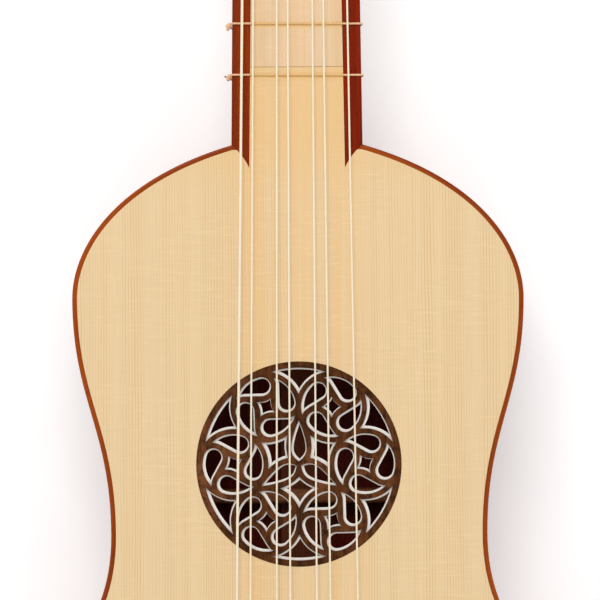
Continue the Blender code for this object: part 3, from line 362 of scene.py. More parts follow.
def growth_rings(graph, place, width, wander):
    """Late wood as thin dark lines at the end of each year's growth, from 0 to 1."""
    x, _, z = graph.split(place)
    broad = graph.swing(graph.noise(place, (26.0, 2.2, 26.0)), wander)
    near = graph.swing(graph.noise(place, (110.0, 9.0, 110.0)), wander * 0.12)
    across = graph.plus(x, graph.times(z, 0.35), broad, near)
    turn = graph.math("FRACT", graph.math("DIVIDE", across, width))
    line = graph.levels(turn, (0.0, 0.25), (0.10, 0.0), (0.55, 0.12), (0.90, 1.0), (1.0, 0.3))
    uneven = graph.patches(place, (240.0, 1.2, 240.0), 0.32, 0.68, 0.25, 1.0, detail=1.0)
    return graph.times(line, uneven)


def softwood(name, pale, line, glow, width, strength, silk, streak, centre=None, smudge=0.0):
    """Spruce: straight fine lines, warm streaks and short cross shimmers of silk.

    With a centre, the streaks keep to that distance on both sides of the middle line. Smudges
    are soft grey marks of handling. Beside the two lowest frets, on the tail side where their shadow
    falls, the wood is golden: partly wax, and partly painted light through the translucent gut.
    """
    graph = Graph(name)
    place = grain_place(graph)
    x, y, _ = graph.split(place)
    rings = growth_rings(graph, place, width, 0.010)
    fibres = graph.noise(place, (2600.0, 55.0, 2600.0), 2.0, 0.6)
    share = graph.plus(graph.times(rings, strength), graph.swing(fibres, 0.42))
    colour = graph.blend(share, pale, line)

    amount = graph.patches(place, (260.0, 1.8, 260.0), 0.44, 0.66, 0.0, streak, 3.0, 0.6)
    if centre:
        near = graph.spread(graph.math("ABSOLUTE", x), centre * 0.6, centre * 1.2, 1.0, 0.2)
        amount = graph.times(amount, near)
    colour = graph.blend(amount, colour, glow)
    dull = graph.patches(place, (330.0, 1.2, 90.0), 0.50, 0.68, 0.0, streak * 0.5)
    colour = graph.blend(dull, colour, tint(pale, 0.93, 0.925, 0.89))
    if centre:
        aged = graph.spread(y, SHOULDER_Y - 0.02, SHOULDER_Y + 0.004, 0.0, 0.55)
        colour = graph.blend(aged, colour, tint(glow, 0.98, 1.0, 1.0))
    if smudge:
        marks = graph.patches(place, (150.0, 34.0, 150.0), 0.46, 0.78, 0.0, smudge, 3.0, 0.55)
        colour = graph.blend(marks, colour, tint(pale, 0.84, 0.82, 0.76))
    # Painted light: a golden band on the shaded tail side of the two lowest frets stands for light through
    # the translucent gut; it is partly wax in the wood
    slanted = graph.plus(y, graph.times(x, FRET_SLANT / NECK_WIDTH_AT_BODY))
    for station in fret_stations()[-2:]:
        away = graph.math("SUBTRACT", slanted, station - FRET_SLANT / 2.0 - FRET_WAX_AND_GLOW_SHIFT)
        wax_and_glow = graph.spread(graph.math("ABSOLUTE", away), FRET_WAX_AND_GLOW, FRET_WAX_AND_GLOW * 2.4, 0.8, 0.0)
        colour = graph.blend(wax_and_glow, colour, rgb(238, 196, 124))

    rays = graph.noise(place, (110.0, 1300.0, 110.0), 3.0, 0.62, 0.5)
    patch = graph.patches(place, (30.0, 22.0, 30.0), 0.36, 0.60, 0.25, 1.0)
    for low, high, shine in ((0.52, 0.68, tint(pale, 1.09)), (0.48, 0.34, tint(pale, 0.93, 0.90, 0.84))):
        ray = graph.times(graph.spread(rays, low, high), patch)
        colour = graph.blend(graph.times(ray, silk), colour, shine)
    height = graph.plus(graph.times(rings, -0.5), graph.times(fibres, 0.5))
    roughness = graph.spread(rings, 0.0, 1.0, 0.46, 0.36)
    return graph.finish(colour, roughness, height, 0.00003, Specular_IOR_Level=0.3, Coat_Weight=0.05)


def hardwood(
    name, pale, dark, width, contrast, pores, figure=0.0, mottle=0.0, rough=0.32, coat=0.0, gloss=0.22
):
    """A close hardwood: streaks of late wood, short open pores, and flame if it is figured."""
    graph = Graph(name)
    place = grain_place(graph)
    rings = growth_rings(graph, place, width, 0.016)
    streaks = graph.noise(place, (420.0, 7.0, 420.0), 4.0, 0.62, 0.4)
    fibres = graph.noise(place, (2400.0, 70.0, 2400.0), 2.0, 0.6)
    late = graph.times(rings, 0.35 * contrast)
    broad = graph.spread(streaks, 0.32, 0.70, 0.0, 0.85 * contrast)
    colour = graph.blend(graph.plus(late, broad, graph.swing(fibres, 0.5)), pale, dark)
    if mottle:
        # Mottle: lighter patches are partly the wood's own tone and partly painted sheen; dark blotches are
        # partly the wood's own tone and partly painted shade for the darkening at the window edges
        sheen_and_tone = graph.patches(place, (62.0, 48.0, 62.0), 0.50, 0.72, 0.0, mottle)
        colour = graph.blend(sheen_and_tone, colour, tint(pale, 1.45, lift=0.012))
        shade_and_tone = graph.patches(place, (420.0, 340.0, 420.0), 0.46, 0.66, 0.0, mottle, 5.0, 0.68)
        colour = graph.blend(shade_and_tone, colour, tint(dark, 0.42))
    open_pores = graph.patches(place, (3400.0, 190.0, 3400.0), 0.64, 0.72, 0.0, pores, 1.0)
    colour = graph.blend(open_pores, colour, tint(dark, 0.35))
    height = graph.math("SUBTRACT", graph.times(fibres, 0.4), open_pores)
    roughness = graph.spread(streaks, 0.3, 0.7, rough - 0.05, rough + 0.07)
    if figure:
        flame = graph.noise(place, (38.0, 170.0, 38.0), 2.0, 0.5, 0.6)
        light = graph.spread(flame, 0.36, 0.64, 0.0, figure)
        colour = graph.blend(light, colour, tint(pale, 1.9, lift=0.01))
        roughness = graph.math("SUBTRACT", roughness, graph.times(light, 0.10))
    fixed = {"Specular_IOR_Level": gloss, "Coat_Weight": coat, "Coat_Roughness": 0.22}
    return graph.finish(colour, roughness, height, 0.00004, **fixed)


def plain_matter(name, colour, other, scale, rough, coat=0.0):
    """Bone and parchment: a soft mottle with fine streaks along the piece."""
    graph = Graph(name)
    place = grain_place(graph)
    mottle = graph.patches(place, scale, 0.32, 0.70, detail=4.0, roughness=0.6)
    specks = graph.noise(place, tuple(s * 6.0 for s in scale), 2.0, 0.6)
    shade = graph.blend(graph.times(mottle, 0.8), colour, other)
    shade = graph.blend(graph.spread(specks, 0.52, 0.78, 0.0, 0.35), shade, tint(other, 0.86))
    roughness = graph.spread(mottle, 0.0, 1.0, rough - 0.05, rough + 0.08)
    return graph.finish(shade, roughness, specks, 0.00003, Coat_Weight=coat, Coat_Roughness=0.2)


def gut(name, colour, twist_colour, pitch, rough, subsurface):
    """Twisted gut: a fine slanting twist, golden where it is waxed and where painted light of the board shows
    through it, and dark where it is burnt.
    """
    graph = Graph(name)
    place = grain_place(graph)
    x, y, mark = graph.split(place)
    phase = graph.plus(graph.math("DIVIDE", y, pitch), x)
    twist = graph.math("SINE", graph.times(phase, math.tau))
    cloud = graph.patches(place, (0.7, 95.0, 1.0), 0.35, 0.70, detail=3.0)
    share = graph.plus(graph.times(twist, 0.125), 0.125, graph.times(cloud, 0.45))
    shade = graph.blend(share, colour, twist_colour)
    # Golden: wax on the knot, and over the board painted light of the pale board seen through the translucent
    # gut
    shade = graph.blend(graph.spread(mark, -0.2, -0.8), shade, rgb(224, 188, 120))
    shade = graph.blend(graph.spread(mark, 0.35, 0.9), shade, rgb(44, 30, 20))
    roughness = graph.spread(twist, -1.0, 1.0, rough, rough + 0.08)
    coat = {"Coat_Weight": 0.2, "Coat_Roughness": 0.15}
    depth = {"Subsurface_Weight": subsurface, "Subsurface_Scale": 0.0006}
    return graph.finish(shade, roughness, twist, 0.000012, **coat, **depth)


def floor_material():
    """A pale matt floor that shows white to the camera where nothing shades it."""
    graph = Graph("floor_paper")
    place = graph.node("TexCoord").outputs["Object"]
    shade = graph.levels(graph.noise(place, (40.0, 40.0, 40.0), 3.0), (0.3, 0.92), (0.7, 0.94))
    light = graph.node("LightPath").outputs
    seen = graph.math("MAXIMUM", light["Is Camera Ray"], light["Is Glossy Ray"])
    graph.join(graph.times(seen, FLOOR_GLOW), graph.shader.inputs["Emission Strength"])
    return graph.finish(shade, 0.9, Emission_Color=(1.0, 1.0, 1.0, 1.0), Specular_IOR_Level=0.0)


# Making pieces
def mesh_data(mesh, name):
    """The finished mesh as data, its faces turned outwards."""
    bmesh.ops.recalc_face_normals(mesh, faces=mesh.faces[:])
    data = bpy.data.meshes.new(name)
    mesh.to_mesh(data)
    mesh.free()
    return data


def new_object(name, data):
    item = bpy.data.objects.new(name, data)
    bpy.context.scene.collection.objects.link(item)
    return item


def add_piece(node, shape, material, grain=Vector, bevel=0.0, segments=2, sharp=35.0, seed=0.0):
    """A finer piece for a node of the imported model, on that node's body."""
    data = shape if isinstance(shape, bpy.types.Mesh) else mesh_data(shape, node + "_fine")
    item = new_object(node + "_fine", data)
    data.materials.clear()
    data.materials.append(material)
    data.shade_smooth()
    data.set_sharp_from_angle(angle=math.radians(sharp))
    if bevel:
        edge = item.modifiers.new("eased edges", "BEVEL")
        edge.width = bevel
        edge.segments = segments
        edge.limit_method = "ANGLE"
        edge.angle_limit = math.radians(sharp)
        edge.use_clamp_overlap = True
        apply_modifiers(item)
        item.data.shade_smooth()
        item.data.set_sharp_from_angle(angle=math.radians(60.0))
        smooth = item.modifiers.new("flat faces", "WEIGHTED_NORMAL")
        smooth.keep_sharp = True
    store_grain(item.data, grain, seed)
    claim(item, node)


def add_cord(node, mesh, material):
    item = new_object(node + "_fine", mesh_data(mesh, node + "_fine"))
    item.data.materials.append(material)
    item.data.shade_smooth()
    claim(item, node)


def claim(item, node):
    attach(item, NODE_BODY[node])
    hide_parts(node)


def apply_modifiers(item):
    bpy.context.view_layer.update()
    view = item.evaluated_get(bpy.context.evaluated_depsgraph_get())
    result = bpy.data.meshes.new_from_object(view)
    item.modifiers.clear()
    item.data = result


def store_grain(data, grain, seed):
    attribute = data.attributes.new("grain", "FLOAT_VECTOR", "POINT")
    offset = Vector((seed * 0.137, seed * 0.071, seed * 0.053))
    values = []
    for vertex in data.vertices:
        values.extend(grain(vertex.co) + offset)
    attribute.data.foreach_set("vector", values)


def crosswise(point):
    """The place in wood whose grain runs across the guitar."""
    return Vector((point.y, point.x, point.z))


def cut(mesh, cutters, place=Matrix.Identity(4)):
    """The mesh with the cutters' volumes taken out, as new mesh data in world places."""
    item = new_object("carved", mesh_data(mesh, "carved"))
    whole = bmesh.new()
    for cutter in cutters:
        scratch = mesh_data(cutter, "scratch")
        whole.from_mesh(scratch)
        bpy.data.meshes.remove(scratch)
    tool = new_object("cutter", mesh_data(whole, "cutter"))
    modifier = item.modifiers.new("cut", "BOOLEAN")
    modifier.operation = "DIFFERENCE"
    modifier.solver = "EXACT"
    modifier.object = tool
    apply_modifiers(item)
    result = item.data
    result.transform(place)
    for thing in (tool, item):
        bpy.data.objects.remove(thing, do_unlink=True)
    return result


def join_rings(mesh, rows):
    """Faces between rings of vertices, each ring with the same count."""
    for lower, upper in zip(rows, rows[1:]):
        for i in range(len(lower)):
            j = (i + 1) % len(lower)
            mesh.faces.new((lower[i], lower[j], upper[j], upper[i]))


def loft_mesh(rings):
    """A closed body through rings of points."""
    mesh = bmesh.new()
    rows = [[mesh.verts.new(point) for point in ring] for ring in rings]
    join_rings(mesh, rows)
    mesh.faces.new(list(reversed(rows[0])))
    mesh.faces.new(rows[-1])
    return mesh


def slab(plan, low, high, side=1.0):
    """A plate between two levels from its outline, on the bass side where side is -1."""
    return loft_mesh([[Vector((side * p.x, p.y, z)) for p in plan] for z in (low, high)])


def plate_mesh(levels):
    """A pierced plate. Each level gives its height and its loops, the rim first; loops match."""
    mesh = bmesh.new()
    rows = []
    for height, loops in levels:
        rows.append([[mesh.verts.new((p[0], p[1], height)) for p in loop] for loop in loops])
    for column in zip(*rows):
        join_rings(mesh, column)
    for row in (rows[0], rows[-1]):
        edges = []
        for loop in row:
            for i, corner in enumerate(loop):
                edges.append(mesh.edges.get((corner, loop[(i + 1) % len(loop)])))
        bmesh.ops.triangle_fill(mesh, edges=edges, use_beauty=True)
    return mesh


def sweep_mesh(points, radii, sides, mesh=None):
    """A round cord along a route, with a radius for each point, which keeps its way along."""
    mesh = mesh or bmesh.new()
    layer = mesh.verts.layers.float_vector.get("grain") or mesh.verts.layers.float_vector.new("grain")
    tangents = []
    for i in range(len(points)):
        ahead = points[min(i + 1, len(points) - 1)]
        behind = points[max(i - 1, 0)]
        tangents.append((ahead - behind).normalized())
    normal = tangents[0].orthogonal().normalized()
    rows = []
    along = 0.0
    for i, (point, radius, tangent) in enumerate(zip(points, radii, tangents)):
        if i:
            along += (point - points[i - 1]).length
        normal = (normal - tangent * normal.dot(tangent)).normalized()
        side = tangent.cross(normal)
        row = []
        for k in range(sides):
            angle = math.tau * k / sides
            vertex = mesh.verts.new(point + (normal * math.cos(angle) + side * math.sin(angle)) * radius)
            vertex[layer] = Vector((abs(k - sides / 2.0) / sides * 2.0, along, 0.0))
            row.append(vertex)
        rows.append(row)
    join_rings(mesh, rows)
    for row, point, out in ((rows[0], points[0], -tangents[0]), (rows[-1], points[-1], tangents[-1])):
        radius = (row[0].co - point).length
        tip = mesh.verts.new(point + out * radius * CORD_END_RISE)
        tip[layer] = Vector(row[0][layer])
        for k in range(sides):
            mesh.faces.new((row[k], row[(k + 1) % sides], tip))
    return mesh


def smooth_route(points, steps):
    """Points on a smooth curve through a route, with a number of steps to each stretch."""
    found = []
    for i in range(len(points) - 1):
        p1, p2 = points[i], points[i + 1]
        p0 = points[i - 1] if i else p1 * 2.0 - p2
        p3 = points[i + 2] if i + 2 < len(points) else p2 * 2.0 - p1
        gaps = [max(1e-6, (b - a).length) ** 0.5 for a, b in ((p0, p1), (p1, p2), (p2, p3))]
        t1 = gaps[0]
        t2 = t1 + gaps[1]
        t3 = t2 + gaps[2]
        for k in range(steps):
            t = t1 + (t2 - t1) * k / steps
            a1 = p0 * ((t1 - t) / t1) + p1 * (t / t1)
            a2 = p1 * ((t2 - t) / (t2 - t1)) + p2 * ((t - t1) / (t2 - t1))
            a3 = p2 * ((t3 - t) / (t3 - t2)) + p3 * ((t - t2) / (t3 - t2))
            b1 = a1 * ((t2 - t) / t2) + a2 * (t / t2)
            b2 = a2 * ((t3 - t) / (t3 - t1)) + a3 * ((t - t1) / (t3 - t1))
            found.append(b1 * ((t2 - t) / (t2 - t1)) + b2 * ((t - t1) / (t2 - t1)))
    return found + [points[-1]]


def polar(radius, angle):
    return Vector((math.cos(angle), math.sin(angle))) * radius


def arc(centre, radius, start, end, count):
    """Points along an arc, both ends included."""
    return [centre + polar(radius, start + (end - start) * i / count) for i in range(count + 1)]


def mirrored(points, x=-1.0, y=1.0):
    """The same points on the other side of an axis, in reverse order."""
    return [Vector((x * p.x, y * p.y)) for p in reversed(points)]


def heading(vector):
    return math.atan2(vector.y, vector.x)


def circles_meet(first, first_radius, second, second_radius, near):
    """The crossing of two circles that lies nearer to a given point."""
    apart = second - first
    distance = apart.length
    reach = (first_radius**2 - second_radius**2 + distance**2) / (2.0 * distance)
    rise = math.sqrt(max(0.0, first_radius**2 - reach**2))
    along = apart / distance
    across = Vector((-along.y, along.x))
    middle = first + along * reach
    return min((middle + across * rise, middle - across * rise), key=lambda p: (p - near).length)


# Body outline
def bezier(p0, p1, p2, p3, t):
    s = 1.0 - t
    point = p0 * s**3 + p1 * (3 * s * s * t) + p2 * (3 * s * t * t) + p3 * t**3
    slope = (p1 - p0) * s * s + (p2 - p1) * (2 * s * t) + (p3 - p2) * t * t
    return point, slope.normalized()


def outline_stations():
    """Points of the half outline from the neck to the tail, each with its outward normal."""
    neck = Vector((NECK_WIDTH_AT_BODY / 2, SHOULDER_Y))
    upper = Vector((UPPER_BOUT_WIDTH / 2, UPPER_BOUT_Y))
    waist = Vector((WAIST_WIDTH / 2, WAIST_Y))
    lower = Vector((LOWER_BOUT_WIDTH / 2, LOWER_BOUT_Y))
    tail = Vector((0.0, TAIL_Y))
    leave = Vector((math.cos(SHOULDER_SLOPE), -math.sin(SHOULDER_SLOPE))) * SHOULDER_REACH
    up = Vector((0.0, 1.0))
    pieces = (
        (neck, neck + leave, upper + up * UPPER_REACH, upper, 36),
        (upper, upper - up * UPPER_TO_WAIST_REACH, waist + up * WAIST_REACH, waist, 30),
        (waist, waist - up * WAIST_TO_LOWER_REACH, lower + up * LOWER_REACH, lower, 36),
        (lower, lower - up * LOWER_TO_TAIL_REACH, tail + Vector((TAIL_REACH, 0.0)), tail, 56),
    )
    stations = []
    for p0, p1, p2, p3, steps in pieces:
        for i in range(steps + (p3 is tail)):
            point, slope = bezier(p0, p1, p2, p3, i / steps)
            stations.append((point, Vector((-slope.y, slope.x))))
    return stations


OUTLINE = outline_stations()
OUTLINE_ALONG = [0.0]
for before, after in zip(OUTLINE, OUTLINE[1:]):
    OUTLINE_ALONG.append(OUTLINE_ALONG[-1] + (after[0] - before[0]).length)


def edge_point(index, inset):
    return OUTLINE[index][0] - OUTLINE[index][1] * inset


def half_outline(inset):
    """The half outline from the middle of the shoulder edge round to the tail."""
    turn = SHOULDER_SLOPE / 2.0
    corner = Vector((NECK_WIDTH_AT_BODY / 2 - inset * math.tan(turn), SHOULDER_Y - inset))
    path = [Vector((0.0, SHOULDER_Y - inset)), corner]
    return path + [edge_point(i, inset) for i in range(1, len(OUTLINE))]


def whole_outline(inset):
    half = half_outline(inset)
    return half + mirrored(half[1:-1])


def unbent(point):
    """A place on a bent wall before bending: its height, its way along and its depth."""
    flat = Vector((abs(point.x), point.y))
    index = min(range(len(OUTLINE)), key=lambda i: (OUTLINE[i][0] - flat).length_squared)
    base, normal = OUTLINE[index]
    slope = Vector((normal.y, -normal.x))
    along = OUTLINE_ALONG[index] + (flat - base).dot(slope)
    return Vector((point.z, along, (base - flat).dot(normal)))


def wall_mesh(side, outer, inner, section):
    rings = []
    for out, inn in zip(outer, inner):
        across = out - inn
        ring = []
        for share, z in section(across.length):
            point = inn + across * share
            ring.append(Vector((side * max(point.x, JOINT / 2.0), point.y, z)))
        rings.append(ring)
    return loft_mesh(rings)


def plain_section(low, high):
    return lambda width: ((0.0, low), (1.0, low), (1.0, high), (0.0, high))


def rounded_section(low, high, radius, steps=6):
    def section(width):
        points = [(0.0, low), (1.0, low)]
        for i in range(steps + 1):
            angle = math.pi / 2.0 * i / steps
            share = 1.0 - radius * (1.0 - math.cos(angle)) / width
            points.append((share, high - radius * (1.0 - math.sin(angle))))
        return points + [(0.0, high)]

    return section


# Neck sizes along its length
def along_neck(at_body, at_nut, y):
    """A size that changes evenly from the body to the nut."""
    return at_body + (at_nut - at_body) * (y - SHOULDER_Y) / (NUT_Y - SHOULDER_Y)


def neck_half(y):
    return along_neck(NECK_WIDTH_AT_BODY, NECK_WIDTH_AT_NUT, y) / 2.0


def strip_inner(y):
    """How far the inner edge of a dark strip lies from the middle of the neck."""
    return neck_half(y) - along_neck(STRIP_WIDTH_AT_BODY, STRIP_WIDTH_AT_NUT, y)


def neck_depth(y):
    plain = along_neck(NECK_DEPTH_AT_BODY, NECK_DEPTH_AT_NUT, y)
    into_heel = max(0.0, 1.0 - (y - SHOULDER_Y) / HEEL_LENGTH)
    return plain + (NECK_TOP - HEEL_FOOT_Z - plain) * into_heel**2.5


def neck_underside(y, clearance, steps):
    """Points round the underside of the neck, from the treble side to the bass side."""
    half = neck_half(y) + clearance
    side_z = NECK_TOP - NECK_SIDE_HEIGHT
    depth = neck_depth(y) - NECK_SIDE_HEIGHT + clearance
    angles = [math.pi * i / steps for i in range(steps + 1)]
    return [Vector((half * math.cos(a), y, side_z - depth * math.sin(a))) for a in angles]


# Soundbox
def build_soundbox(woods):
    back = slab(whole_outline(0.0), 0.0, BACK_THICKNESS)
    add_piece("back", back, woods["back"], bevel=BACK_EDGE_ROUND, segments=3, seed=3.0)
    for side, label, seed in ((-1.0, "bass", 5.0), (1.0, "treble", 9.0)):
        section = plain_section(RIB_LOW, RIB_HIGH)
        mesh = wall_mesh(side, half_outline(0.0), half_outline(RIB_THICKNESS), section)
        add_piece("rib_" + label, mesh, woods["rib"], unbent, seed=seed)
        faces = []
        for inset in (0.0, BINDING_WIDTH):
            start = Vector((strip_inner(SHOULDER_Y), SHOULDER_Y - inset))
            faces.append([start] + [edge_point(i, inset) for i in range(len(OUTLINE))])
        section = rounded_section(BODY_DEPTH - BINDING_HEIGHT, BODY_DEPTH, BINDING_ROUND)
        data = cut(wall_mesh(side, *faces, section), [strip_cutter(side)])
        add_piece("binding_" + label, data, woods["binding"], unbent, seed=seed + 1.0)


def beard_centre():
    """Centre of the arc that hollows each point, on the body side of the neck's corner."""
    corner = Vector((neck_half(SHOULDER_Y), SHOULDER_Y))
    tip_y = SHOULDER_Y - BEARD_LENGTH
    tip = Vector((strip_inner(tip_y), tip_y))
    chord = tip - corner
    away = Vector((-chord.y, chord.x)).normalized()
    return (corner + tip) / 2.0 + away * math.sqrt(BEARD_RADIUS**2 - chord.length_squared / 4.0)


def strip_outline(grow, top_y):
    """One dark strip in plan on the treble side, grown by a clearance."""
    centre = beard_centre()
    radius = BEARD_RADIUS - grow
    low = SHOULDER_Y - 2.0 * BEARD_LENGTH
    high = SHOULDER_Y
    for _ in range(50):
        y = (low + high) / 2.0
        if (Vector((strip_inner(y) - grow, y)) - centre).length > radius:
            high = y
        else:
            low = y
    point = Vector((strip_inner(high) - grow, high))
    start = heading(point - centre) % math.tau
    end = math.atan2(SHOULDER_Y - centre.y, -math.sqrt(radius**2 - (SHOULDER_Y - centre.y) ** 2))
    outline = [Vector((strip_inner(top_y) - grow, top_y))]
    outline += arc(centre, radius, start, end % math.tau, 20)
    if grow > 0.0:
        outline.append(Vector((neck_half(SHOULDER_Y) + grow, SHOULDER_Y)))
    outline.append(Vector((neck_half(top_y) + grow, top_y)))
    return outline


def strip_cutter(side):
    plan = strip_outline(JOINT, SHOULDER_Y + TONGUE_LENGTH * 2.0)
    return slab(plan, TOP_UNDERSIDE - BINDING_HEIGHT, BODY_DEPTH + BINDING_HEIGHT, side)


def build_top(woods):
    edge = BINDING_WIDTH + JOINT
    tongue_end = SHOULDER_Y + TONGUE_LENGTH
    treble = []
    for strip_y, y in ((tongue_end, tongue_end), (SHOULDER_Y, SHOULDER_Y - edge)):
        treble.append(Vector(((strip_inner(strip_y) + neck_half(strip_y)) / 2.0, y)))
    treble += half_outline(edge)[1:]
    whole = treble + mirrored(treble[:-1])
    levels = []
    for z, ease in ((TOP_UNDERSIDE, 0.0), (BODY_DEPTH - TRACERY_EDGE, 0.0), (BODY_DEPTH, TRACERY_EDGE)):
        opening = arc(ROSE_CENTRE, ROSE_RADIUS + JOINT + ease, 0.0, math.tau, 160)[:-1]
        levels.append((z, [whole, opening]))
    data = cut(plate_mesh(levels), [strip_cutter(-1.0), strip_cutter(1.0)])
    add_piece("soundboard", data, woods["spruce"])

    for side, label, seed in ((-1.0, "bass", 13.0), (1.0, "treble", 17.0)):
        mesh = slab(strip_outline(0.0, NUT_Y - JOINT), NECK_TOP + JOINT, BODY_DEPTH, side)
        outer_edges = [e for e in mesh.edges if is_outer_top(e)]
        bmesh.ops.bevel(
            mesh, geom=outer_edges, offset=STRIP_EDGE_ROUND, segments=6, profile=0.5, affect="EDGES"
        )
        add_piece("fingerboard_strip_" + label, mesh, woods["strip_" + label], seed=seed)

    ends = (tongue_end + TONGUE_JOINT, NUT_Y - JOINT)
    half = [Vector((strip_inner(y) - JOINT, y)) for y in ends]
    board = slab(half + mirrored(half), NECK_TOP + JOINT, BODY_DEPTH)
    add_piece("fingerboard", board, woods["board"], bevel=JOINT, segments=1)


def is_outer_top(edge):
    first, second = (v.co for v in edge.verts)
    if abs(first.y - second.y) < HEEL_LENGTH:
        return False
    return all(c.z > BODY_DEPTH - JOINT and abs(c.x) > neck_half(c.y) - JOINT for c in (first, second))


# Neck, nut and peghead
def build_neck(woods):
    stations = [SHOULDER_Y + JOINT + (HEEL_LENGTH - JOINT) * (i / 16.0) ** 1.3 for i in range(17)]
    reach = NUT_Y - SHOULDER_Y - HEEL_LENGTH
    stations += [SHOULDER_Y + HEEL_LENGTH + reach * i / 8.0 for i in range(1, 9)]
    rings = [neck_ring(y) for y in stations]
    end = neck_ring(HEAD_Y - JOINT)
    for point in end:
        point.y += (point.z - HEAD_Z) * math.tan(HEAD_TILT)
    rings.append(end)
    add_piece("neck", loft_mesh(rings), woods["neck"], seed=25.0, sharp=40.0)

    half = neck_half(NUT_Y)
    low = NECK_TOP + JOINT
    crest = BODY_DEPTH + NUT_RISE
    profile = [Vector((0.0, low)), Vector((NUT_LENGTH, low)), Vector((NUT_LENGTH, crest - NUT_RISE / 2.0))]
    shape = [profile[-1], Vector((NUT_LENGTH * 0.6, crest - 0.0001)), Vector((NUT_LENGTH * 0.15, crest))]
    shape.append(Vector((0.0, crest - NUT_RISE / 5.0)))
    profile += smooth_route(shape, 5)[1:]
    rings = [[Vector((x, NUT_Y + p.x, p.y)) for p in profile] for x in (-half, half)]
    grooves = []
    for string in strings():
        start = Vector((string["nut_x"], NUT_Y - NUT_LENGTH, string["nut_z"]))
        end = start + Vector((0.0, 3.0 * NUT_LENGTH, 0.0))
        grooves.append(round_cutter(start, end, string["diameter"] / 2.0 + NUT_GROOVE_ROOM, True))
    data = cut(loft_mesh(rings), grooves)
    add_piece("nut", data, woods["bone"], crosswise, bevel=0.00015)


def neck_ring(y):
    half = neck_half(y)
    return [Vector((-half, y, NECK_TOP)), Vector((half, y, NECK_TOP))] + neck_underside(y, 0.0, 28)


def round_cutter(start, end, radius, open_top=False, sides=16):
    """A cylinder between two points; with open_top it is a slot that is open upwards."""
    along = (end - start).normalized()
    up = Vector((0.0, 0.0, 1.0)) if abs(along.z) < 0.9 else Vector((0.0, 1.0, 0.0))
    across = along.cross(up).normalized()
    up = across.cross(along)
    ring = []
    for i in range(sides):
        angle = math.tau * (i + 0.5) / sides
        ring.append(across * (radius * math.cos(angle)) + up * (radius * math.sin(angle)))
    if open_top:
        ring = [p + up * NUT_LENGTH if p.dot(up) > 0.0 else p for p in ring]
    return loft_mesh([[start + p for p in ring], [end + p for p in ring]])


def head_outline():
    near = Vector((NECK_WIDTH_AT_NUT / 2.0, 0.0))
    wide = Vector((HEAD_WIDTH / 2.0, HEAD_FLARE_LENGTH))
    corner = Vector((HEAD_END_WIDTH / 2.0, HEAD_LENGTH - HEAD_END_ARCH))
    top = Vector((0.0, HEAD_LENGTH))
    up = Vector((0.0, HEAD_FLARE_LENGTH * 0.45))
    flare = [bezier(near, near + up, wide - up, wide, i / 16)[0] for i in range(16)]
    arch = Vector((HEAD_END_WIDTH * 0.3, 0.0))
    crown = [bezier(corner, corner + up * 0.4, top + arch, top, i / 20)[0] for i in range(20)]
    half = flare + [wide] + crown
    return half + [top] + mirrored(half)


def peg_radius(rise):
    """The tapered shaft's radius at a level above the peghead's face."""
    return PEG_REAR_RADIUS - (rise - HEAD_REAR) * PEG_TAPER


def peg_places():
    """Peg centres on the peghead for the strings from bass to treble."""
    bass = [(-PEG_ROW_HALF, PEG_FIRST + PEG_SPACING * i) for i in range(4)]
    treble = [(PEG_ROW_HALF, PEG_FIRST + PEG_STAGGER + PEG_SPACING * i) for i in range(3)]
    return bass + list(reversed(treble))


def build_head(woods):
    outline = head_outline()
    back_to_head = HEAD_PLANE.inverted()
    levels = (
        ("peghead", HEAD_REAR, -VENEER_THICKNESS - JOINT, woods["neck"], 0.0009, 31.0),
        ("peghead_veneer", -VENEER_THICKNESS, 0.0, woods["strip_bass"], 0.0003, 37.0),
    )
    for name, low, high, material, ease, seed in levels:
        holes = []
        for x, along in peg_places():
            hole = []
            for rise in (low - VENEER_THICKNESS, high + VENEER_THICKNESS):
                radius = peg_radius(rise) + PEG_HOLE_ROOM
                hole.append(ring_at(x, along, rise, radius, radius))
            holes.append(loft_mesh(hole))
        data = cut(slab(outline, low, high), holes, HEAD_PLANE)
        add_piece(name, data, material, lambda p: back_to_head @ p, bevel=ease, segments=3, seed=seed)


def ring_at(x, y, z, across, along):
    ring = []
    for i in range(PEG_SIDES):
        angle = math.tau * (i + 0.5) / PEG_SIDES
        ring.append(Vector((x + across * math.cos(angle), y + along * math.sin(angle), z)))
    return ring


def build_peg(index, string, material):
    """A turned peg: tapered shaft, collar with a bead, and a flattened heart-shaped handle."""
    end = HEAD_REAR - PEG_REAR_LENGTH
    profile = []
    for table, unit in ((PEG_HANDLE, PEG_HANDLE_HALF), (PEG_COLLAR, PEG_REAR_RADIUS)):
        profile += [Vector((end + PEG_REAR_LENGTH * share, unit * wide, flat)) for share, wide, flat in table]
    collar_end = end + PEG_REAR_LENGTH * PEG_COLLAR_END
    profile.append(Vector((collar_end, peg_radius(collar_end), 0.0)))
    front = PEG_FRONT_LENGTH
    tip = peg_radius(front)
    shaft = (
        (HEAD_REAR, peg_radius(HEAD_REAR), 0.0),
        (front * 0.5, peg_radius(front * 0.5), 0.0),
        (front - 0.0010, tip - 0.00002, 0.0),
        (front - 0.0003, tip - 0.0002, 0.0),
        (front, tip - 0.0009, 0.0),
    )
    rings = []
    for rise, radius, flat in smooth_route(profile, 3) + [Vector(row) for row in shaft]:
        thin = radius * (1.0 - flat * (1.0 - PEG_HANDLE_FLATNESS))
        rings.append(ring_at(0.0, 0.0, rise, thin, radius))
    across = polar(peg_radius(0.0) * 2.0, string["hole_angle"]).to_3d()
    middle = Vector((0.0, 0.0, string["hole_rise"]))
    hole = round_cutter(middle - across, middle + across, string["diameter"] / 2.0 + STRING_HOLE_ROOM)
    place = HEAD_PLANE @ Matrix.Translation((*string["peg"], 0.0))
    data = cut(loft_mesh(rings), [hole], place)
    back = place.inverted()

    def along_peg(point):
        local = back @ point
        return Vector((local.x, local.z, local.y))

    add_piece("peg_%d" % index, data, material, along_peg, sharp=38.0, seed=40.0 + index)


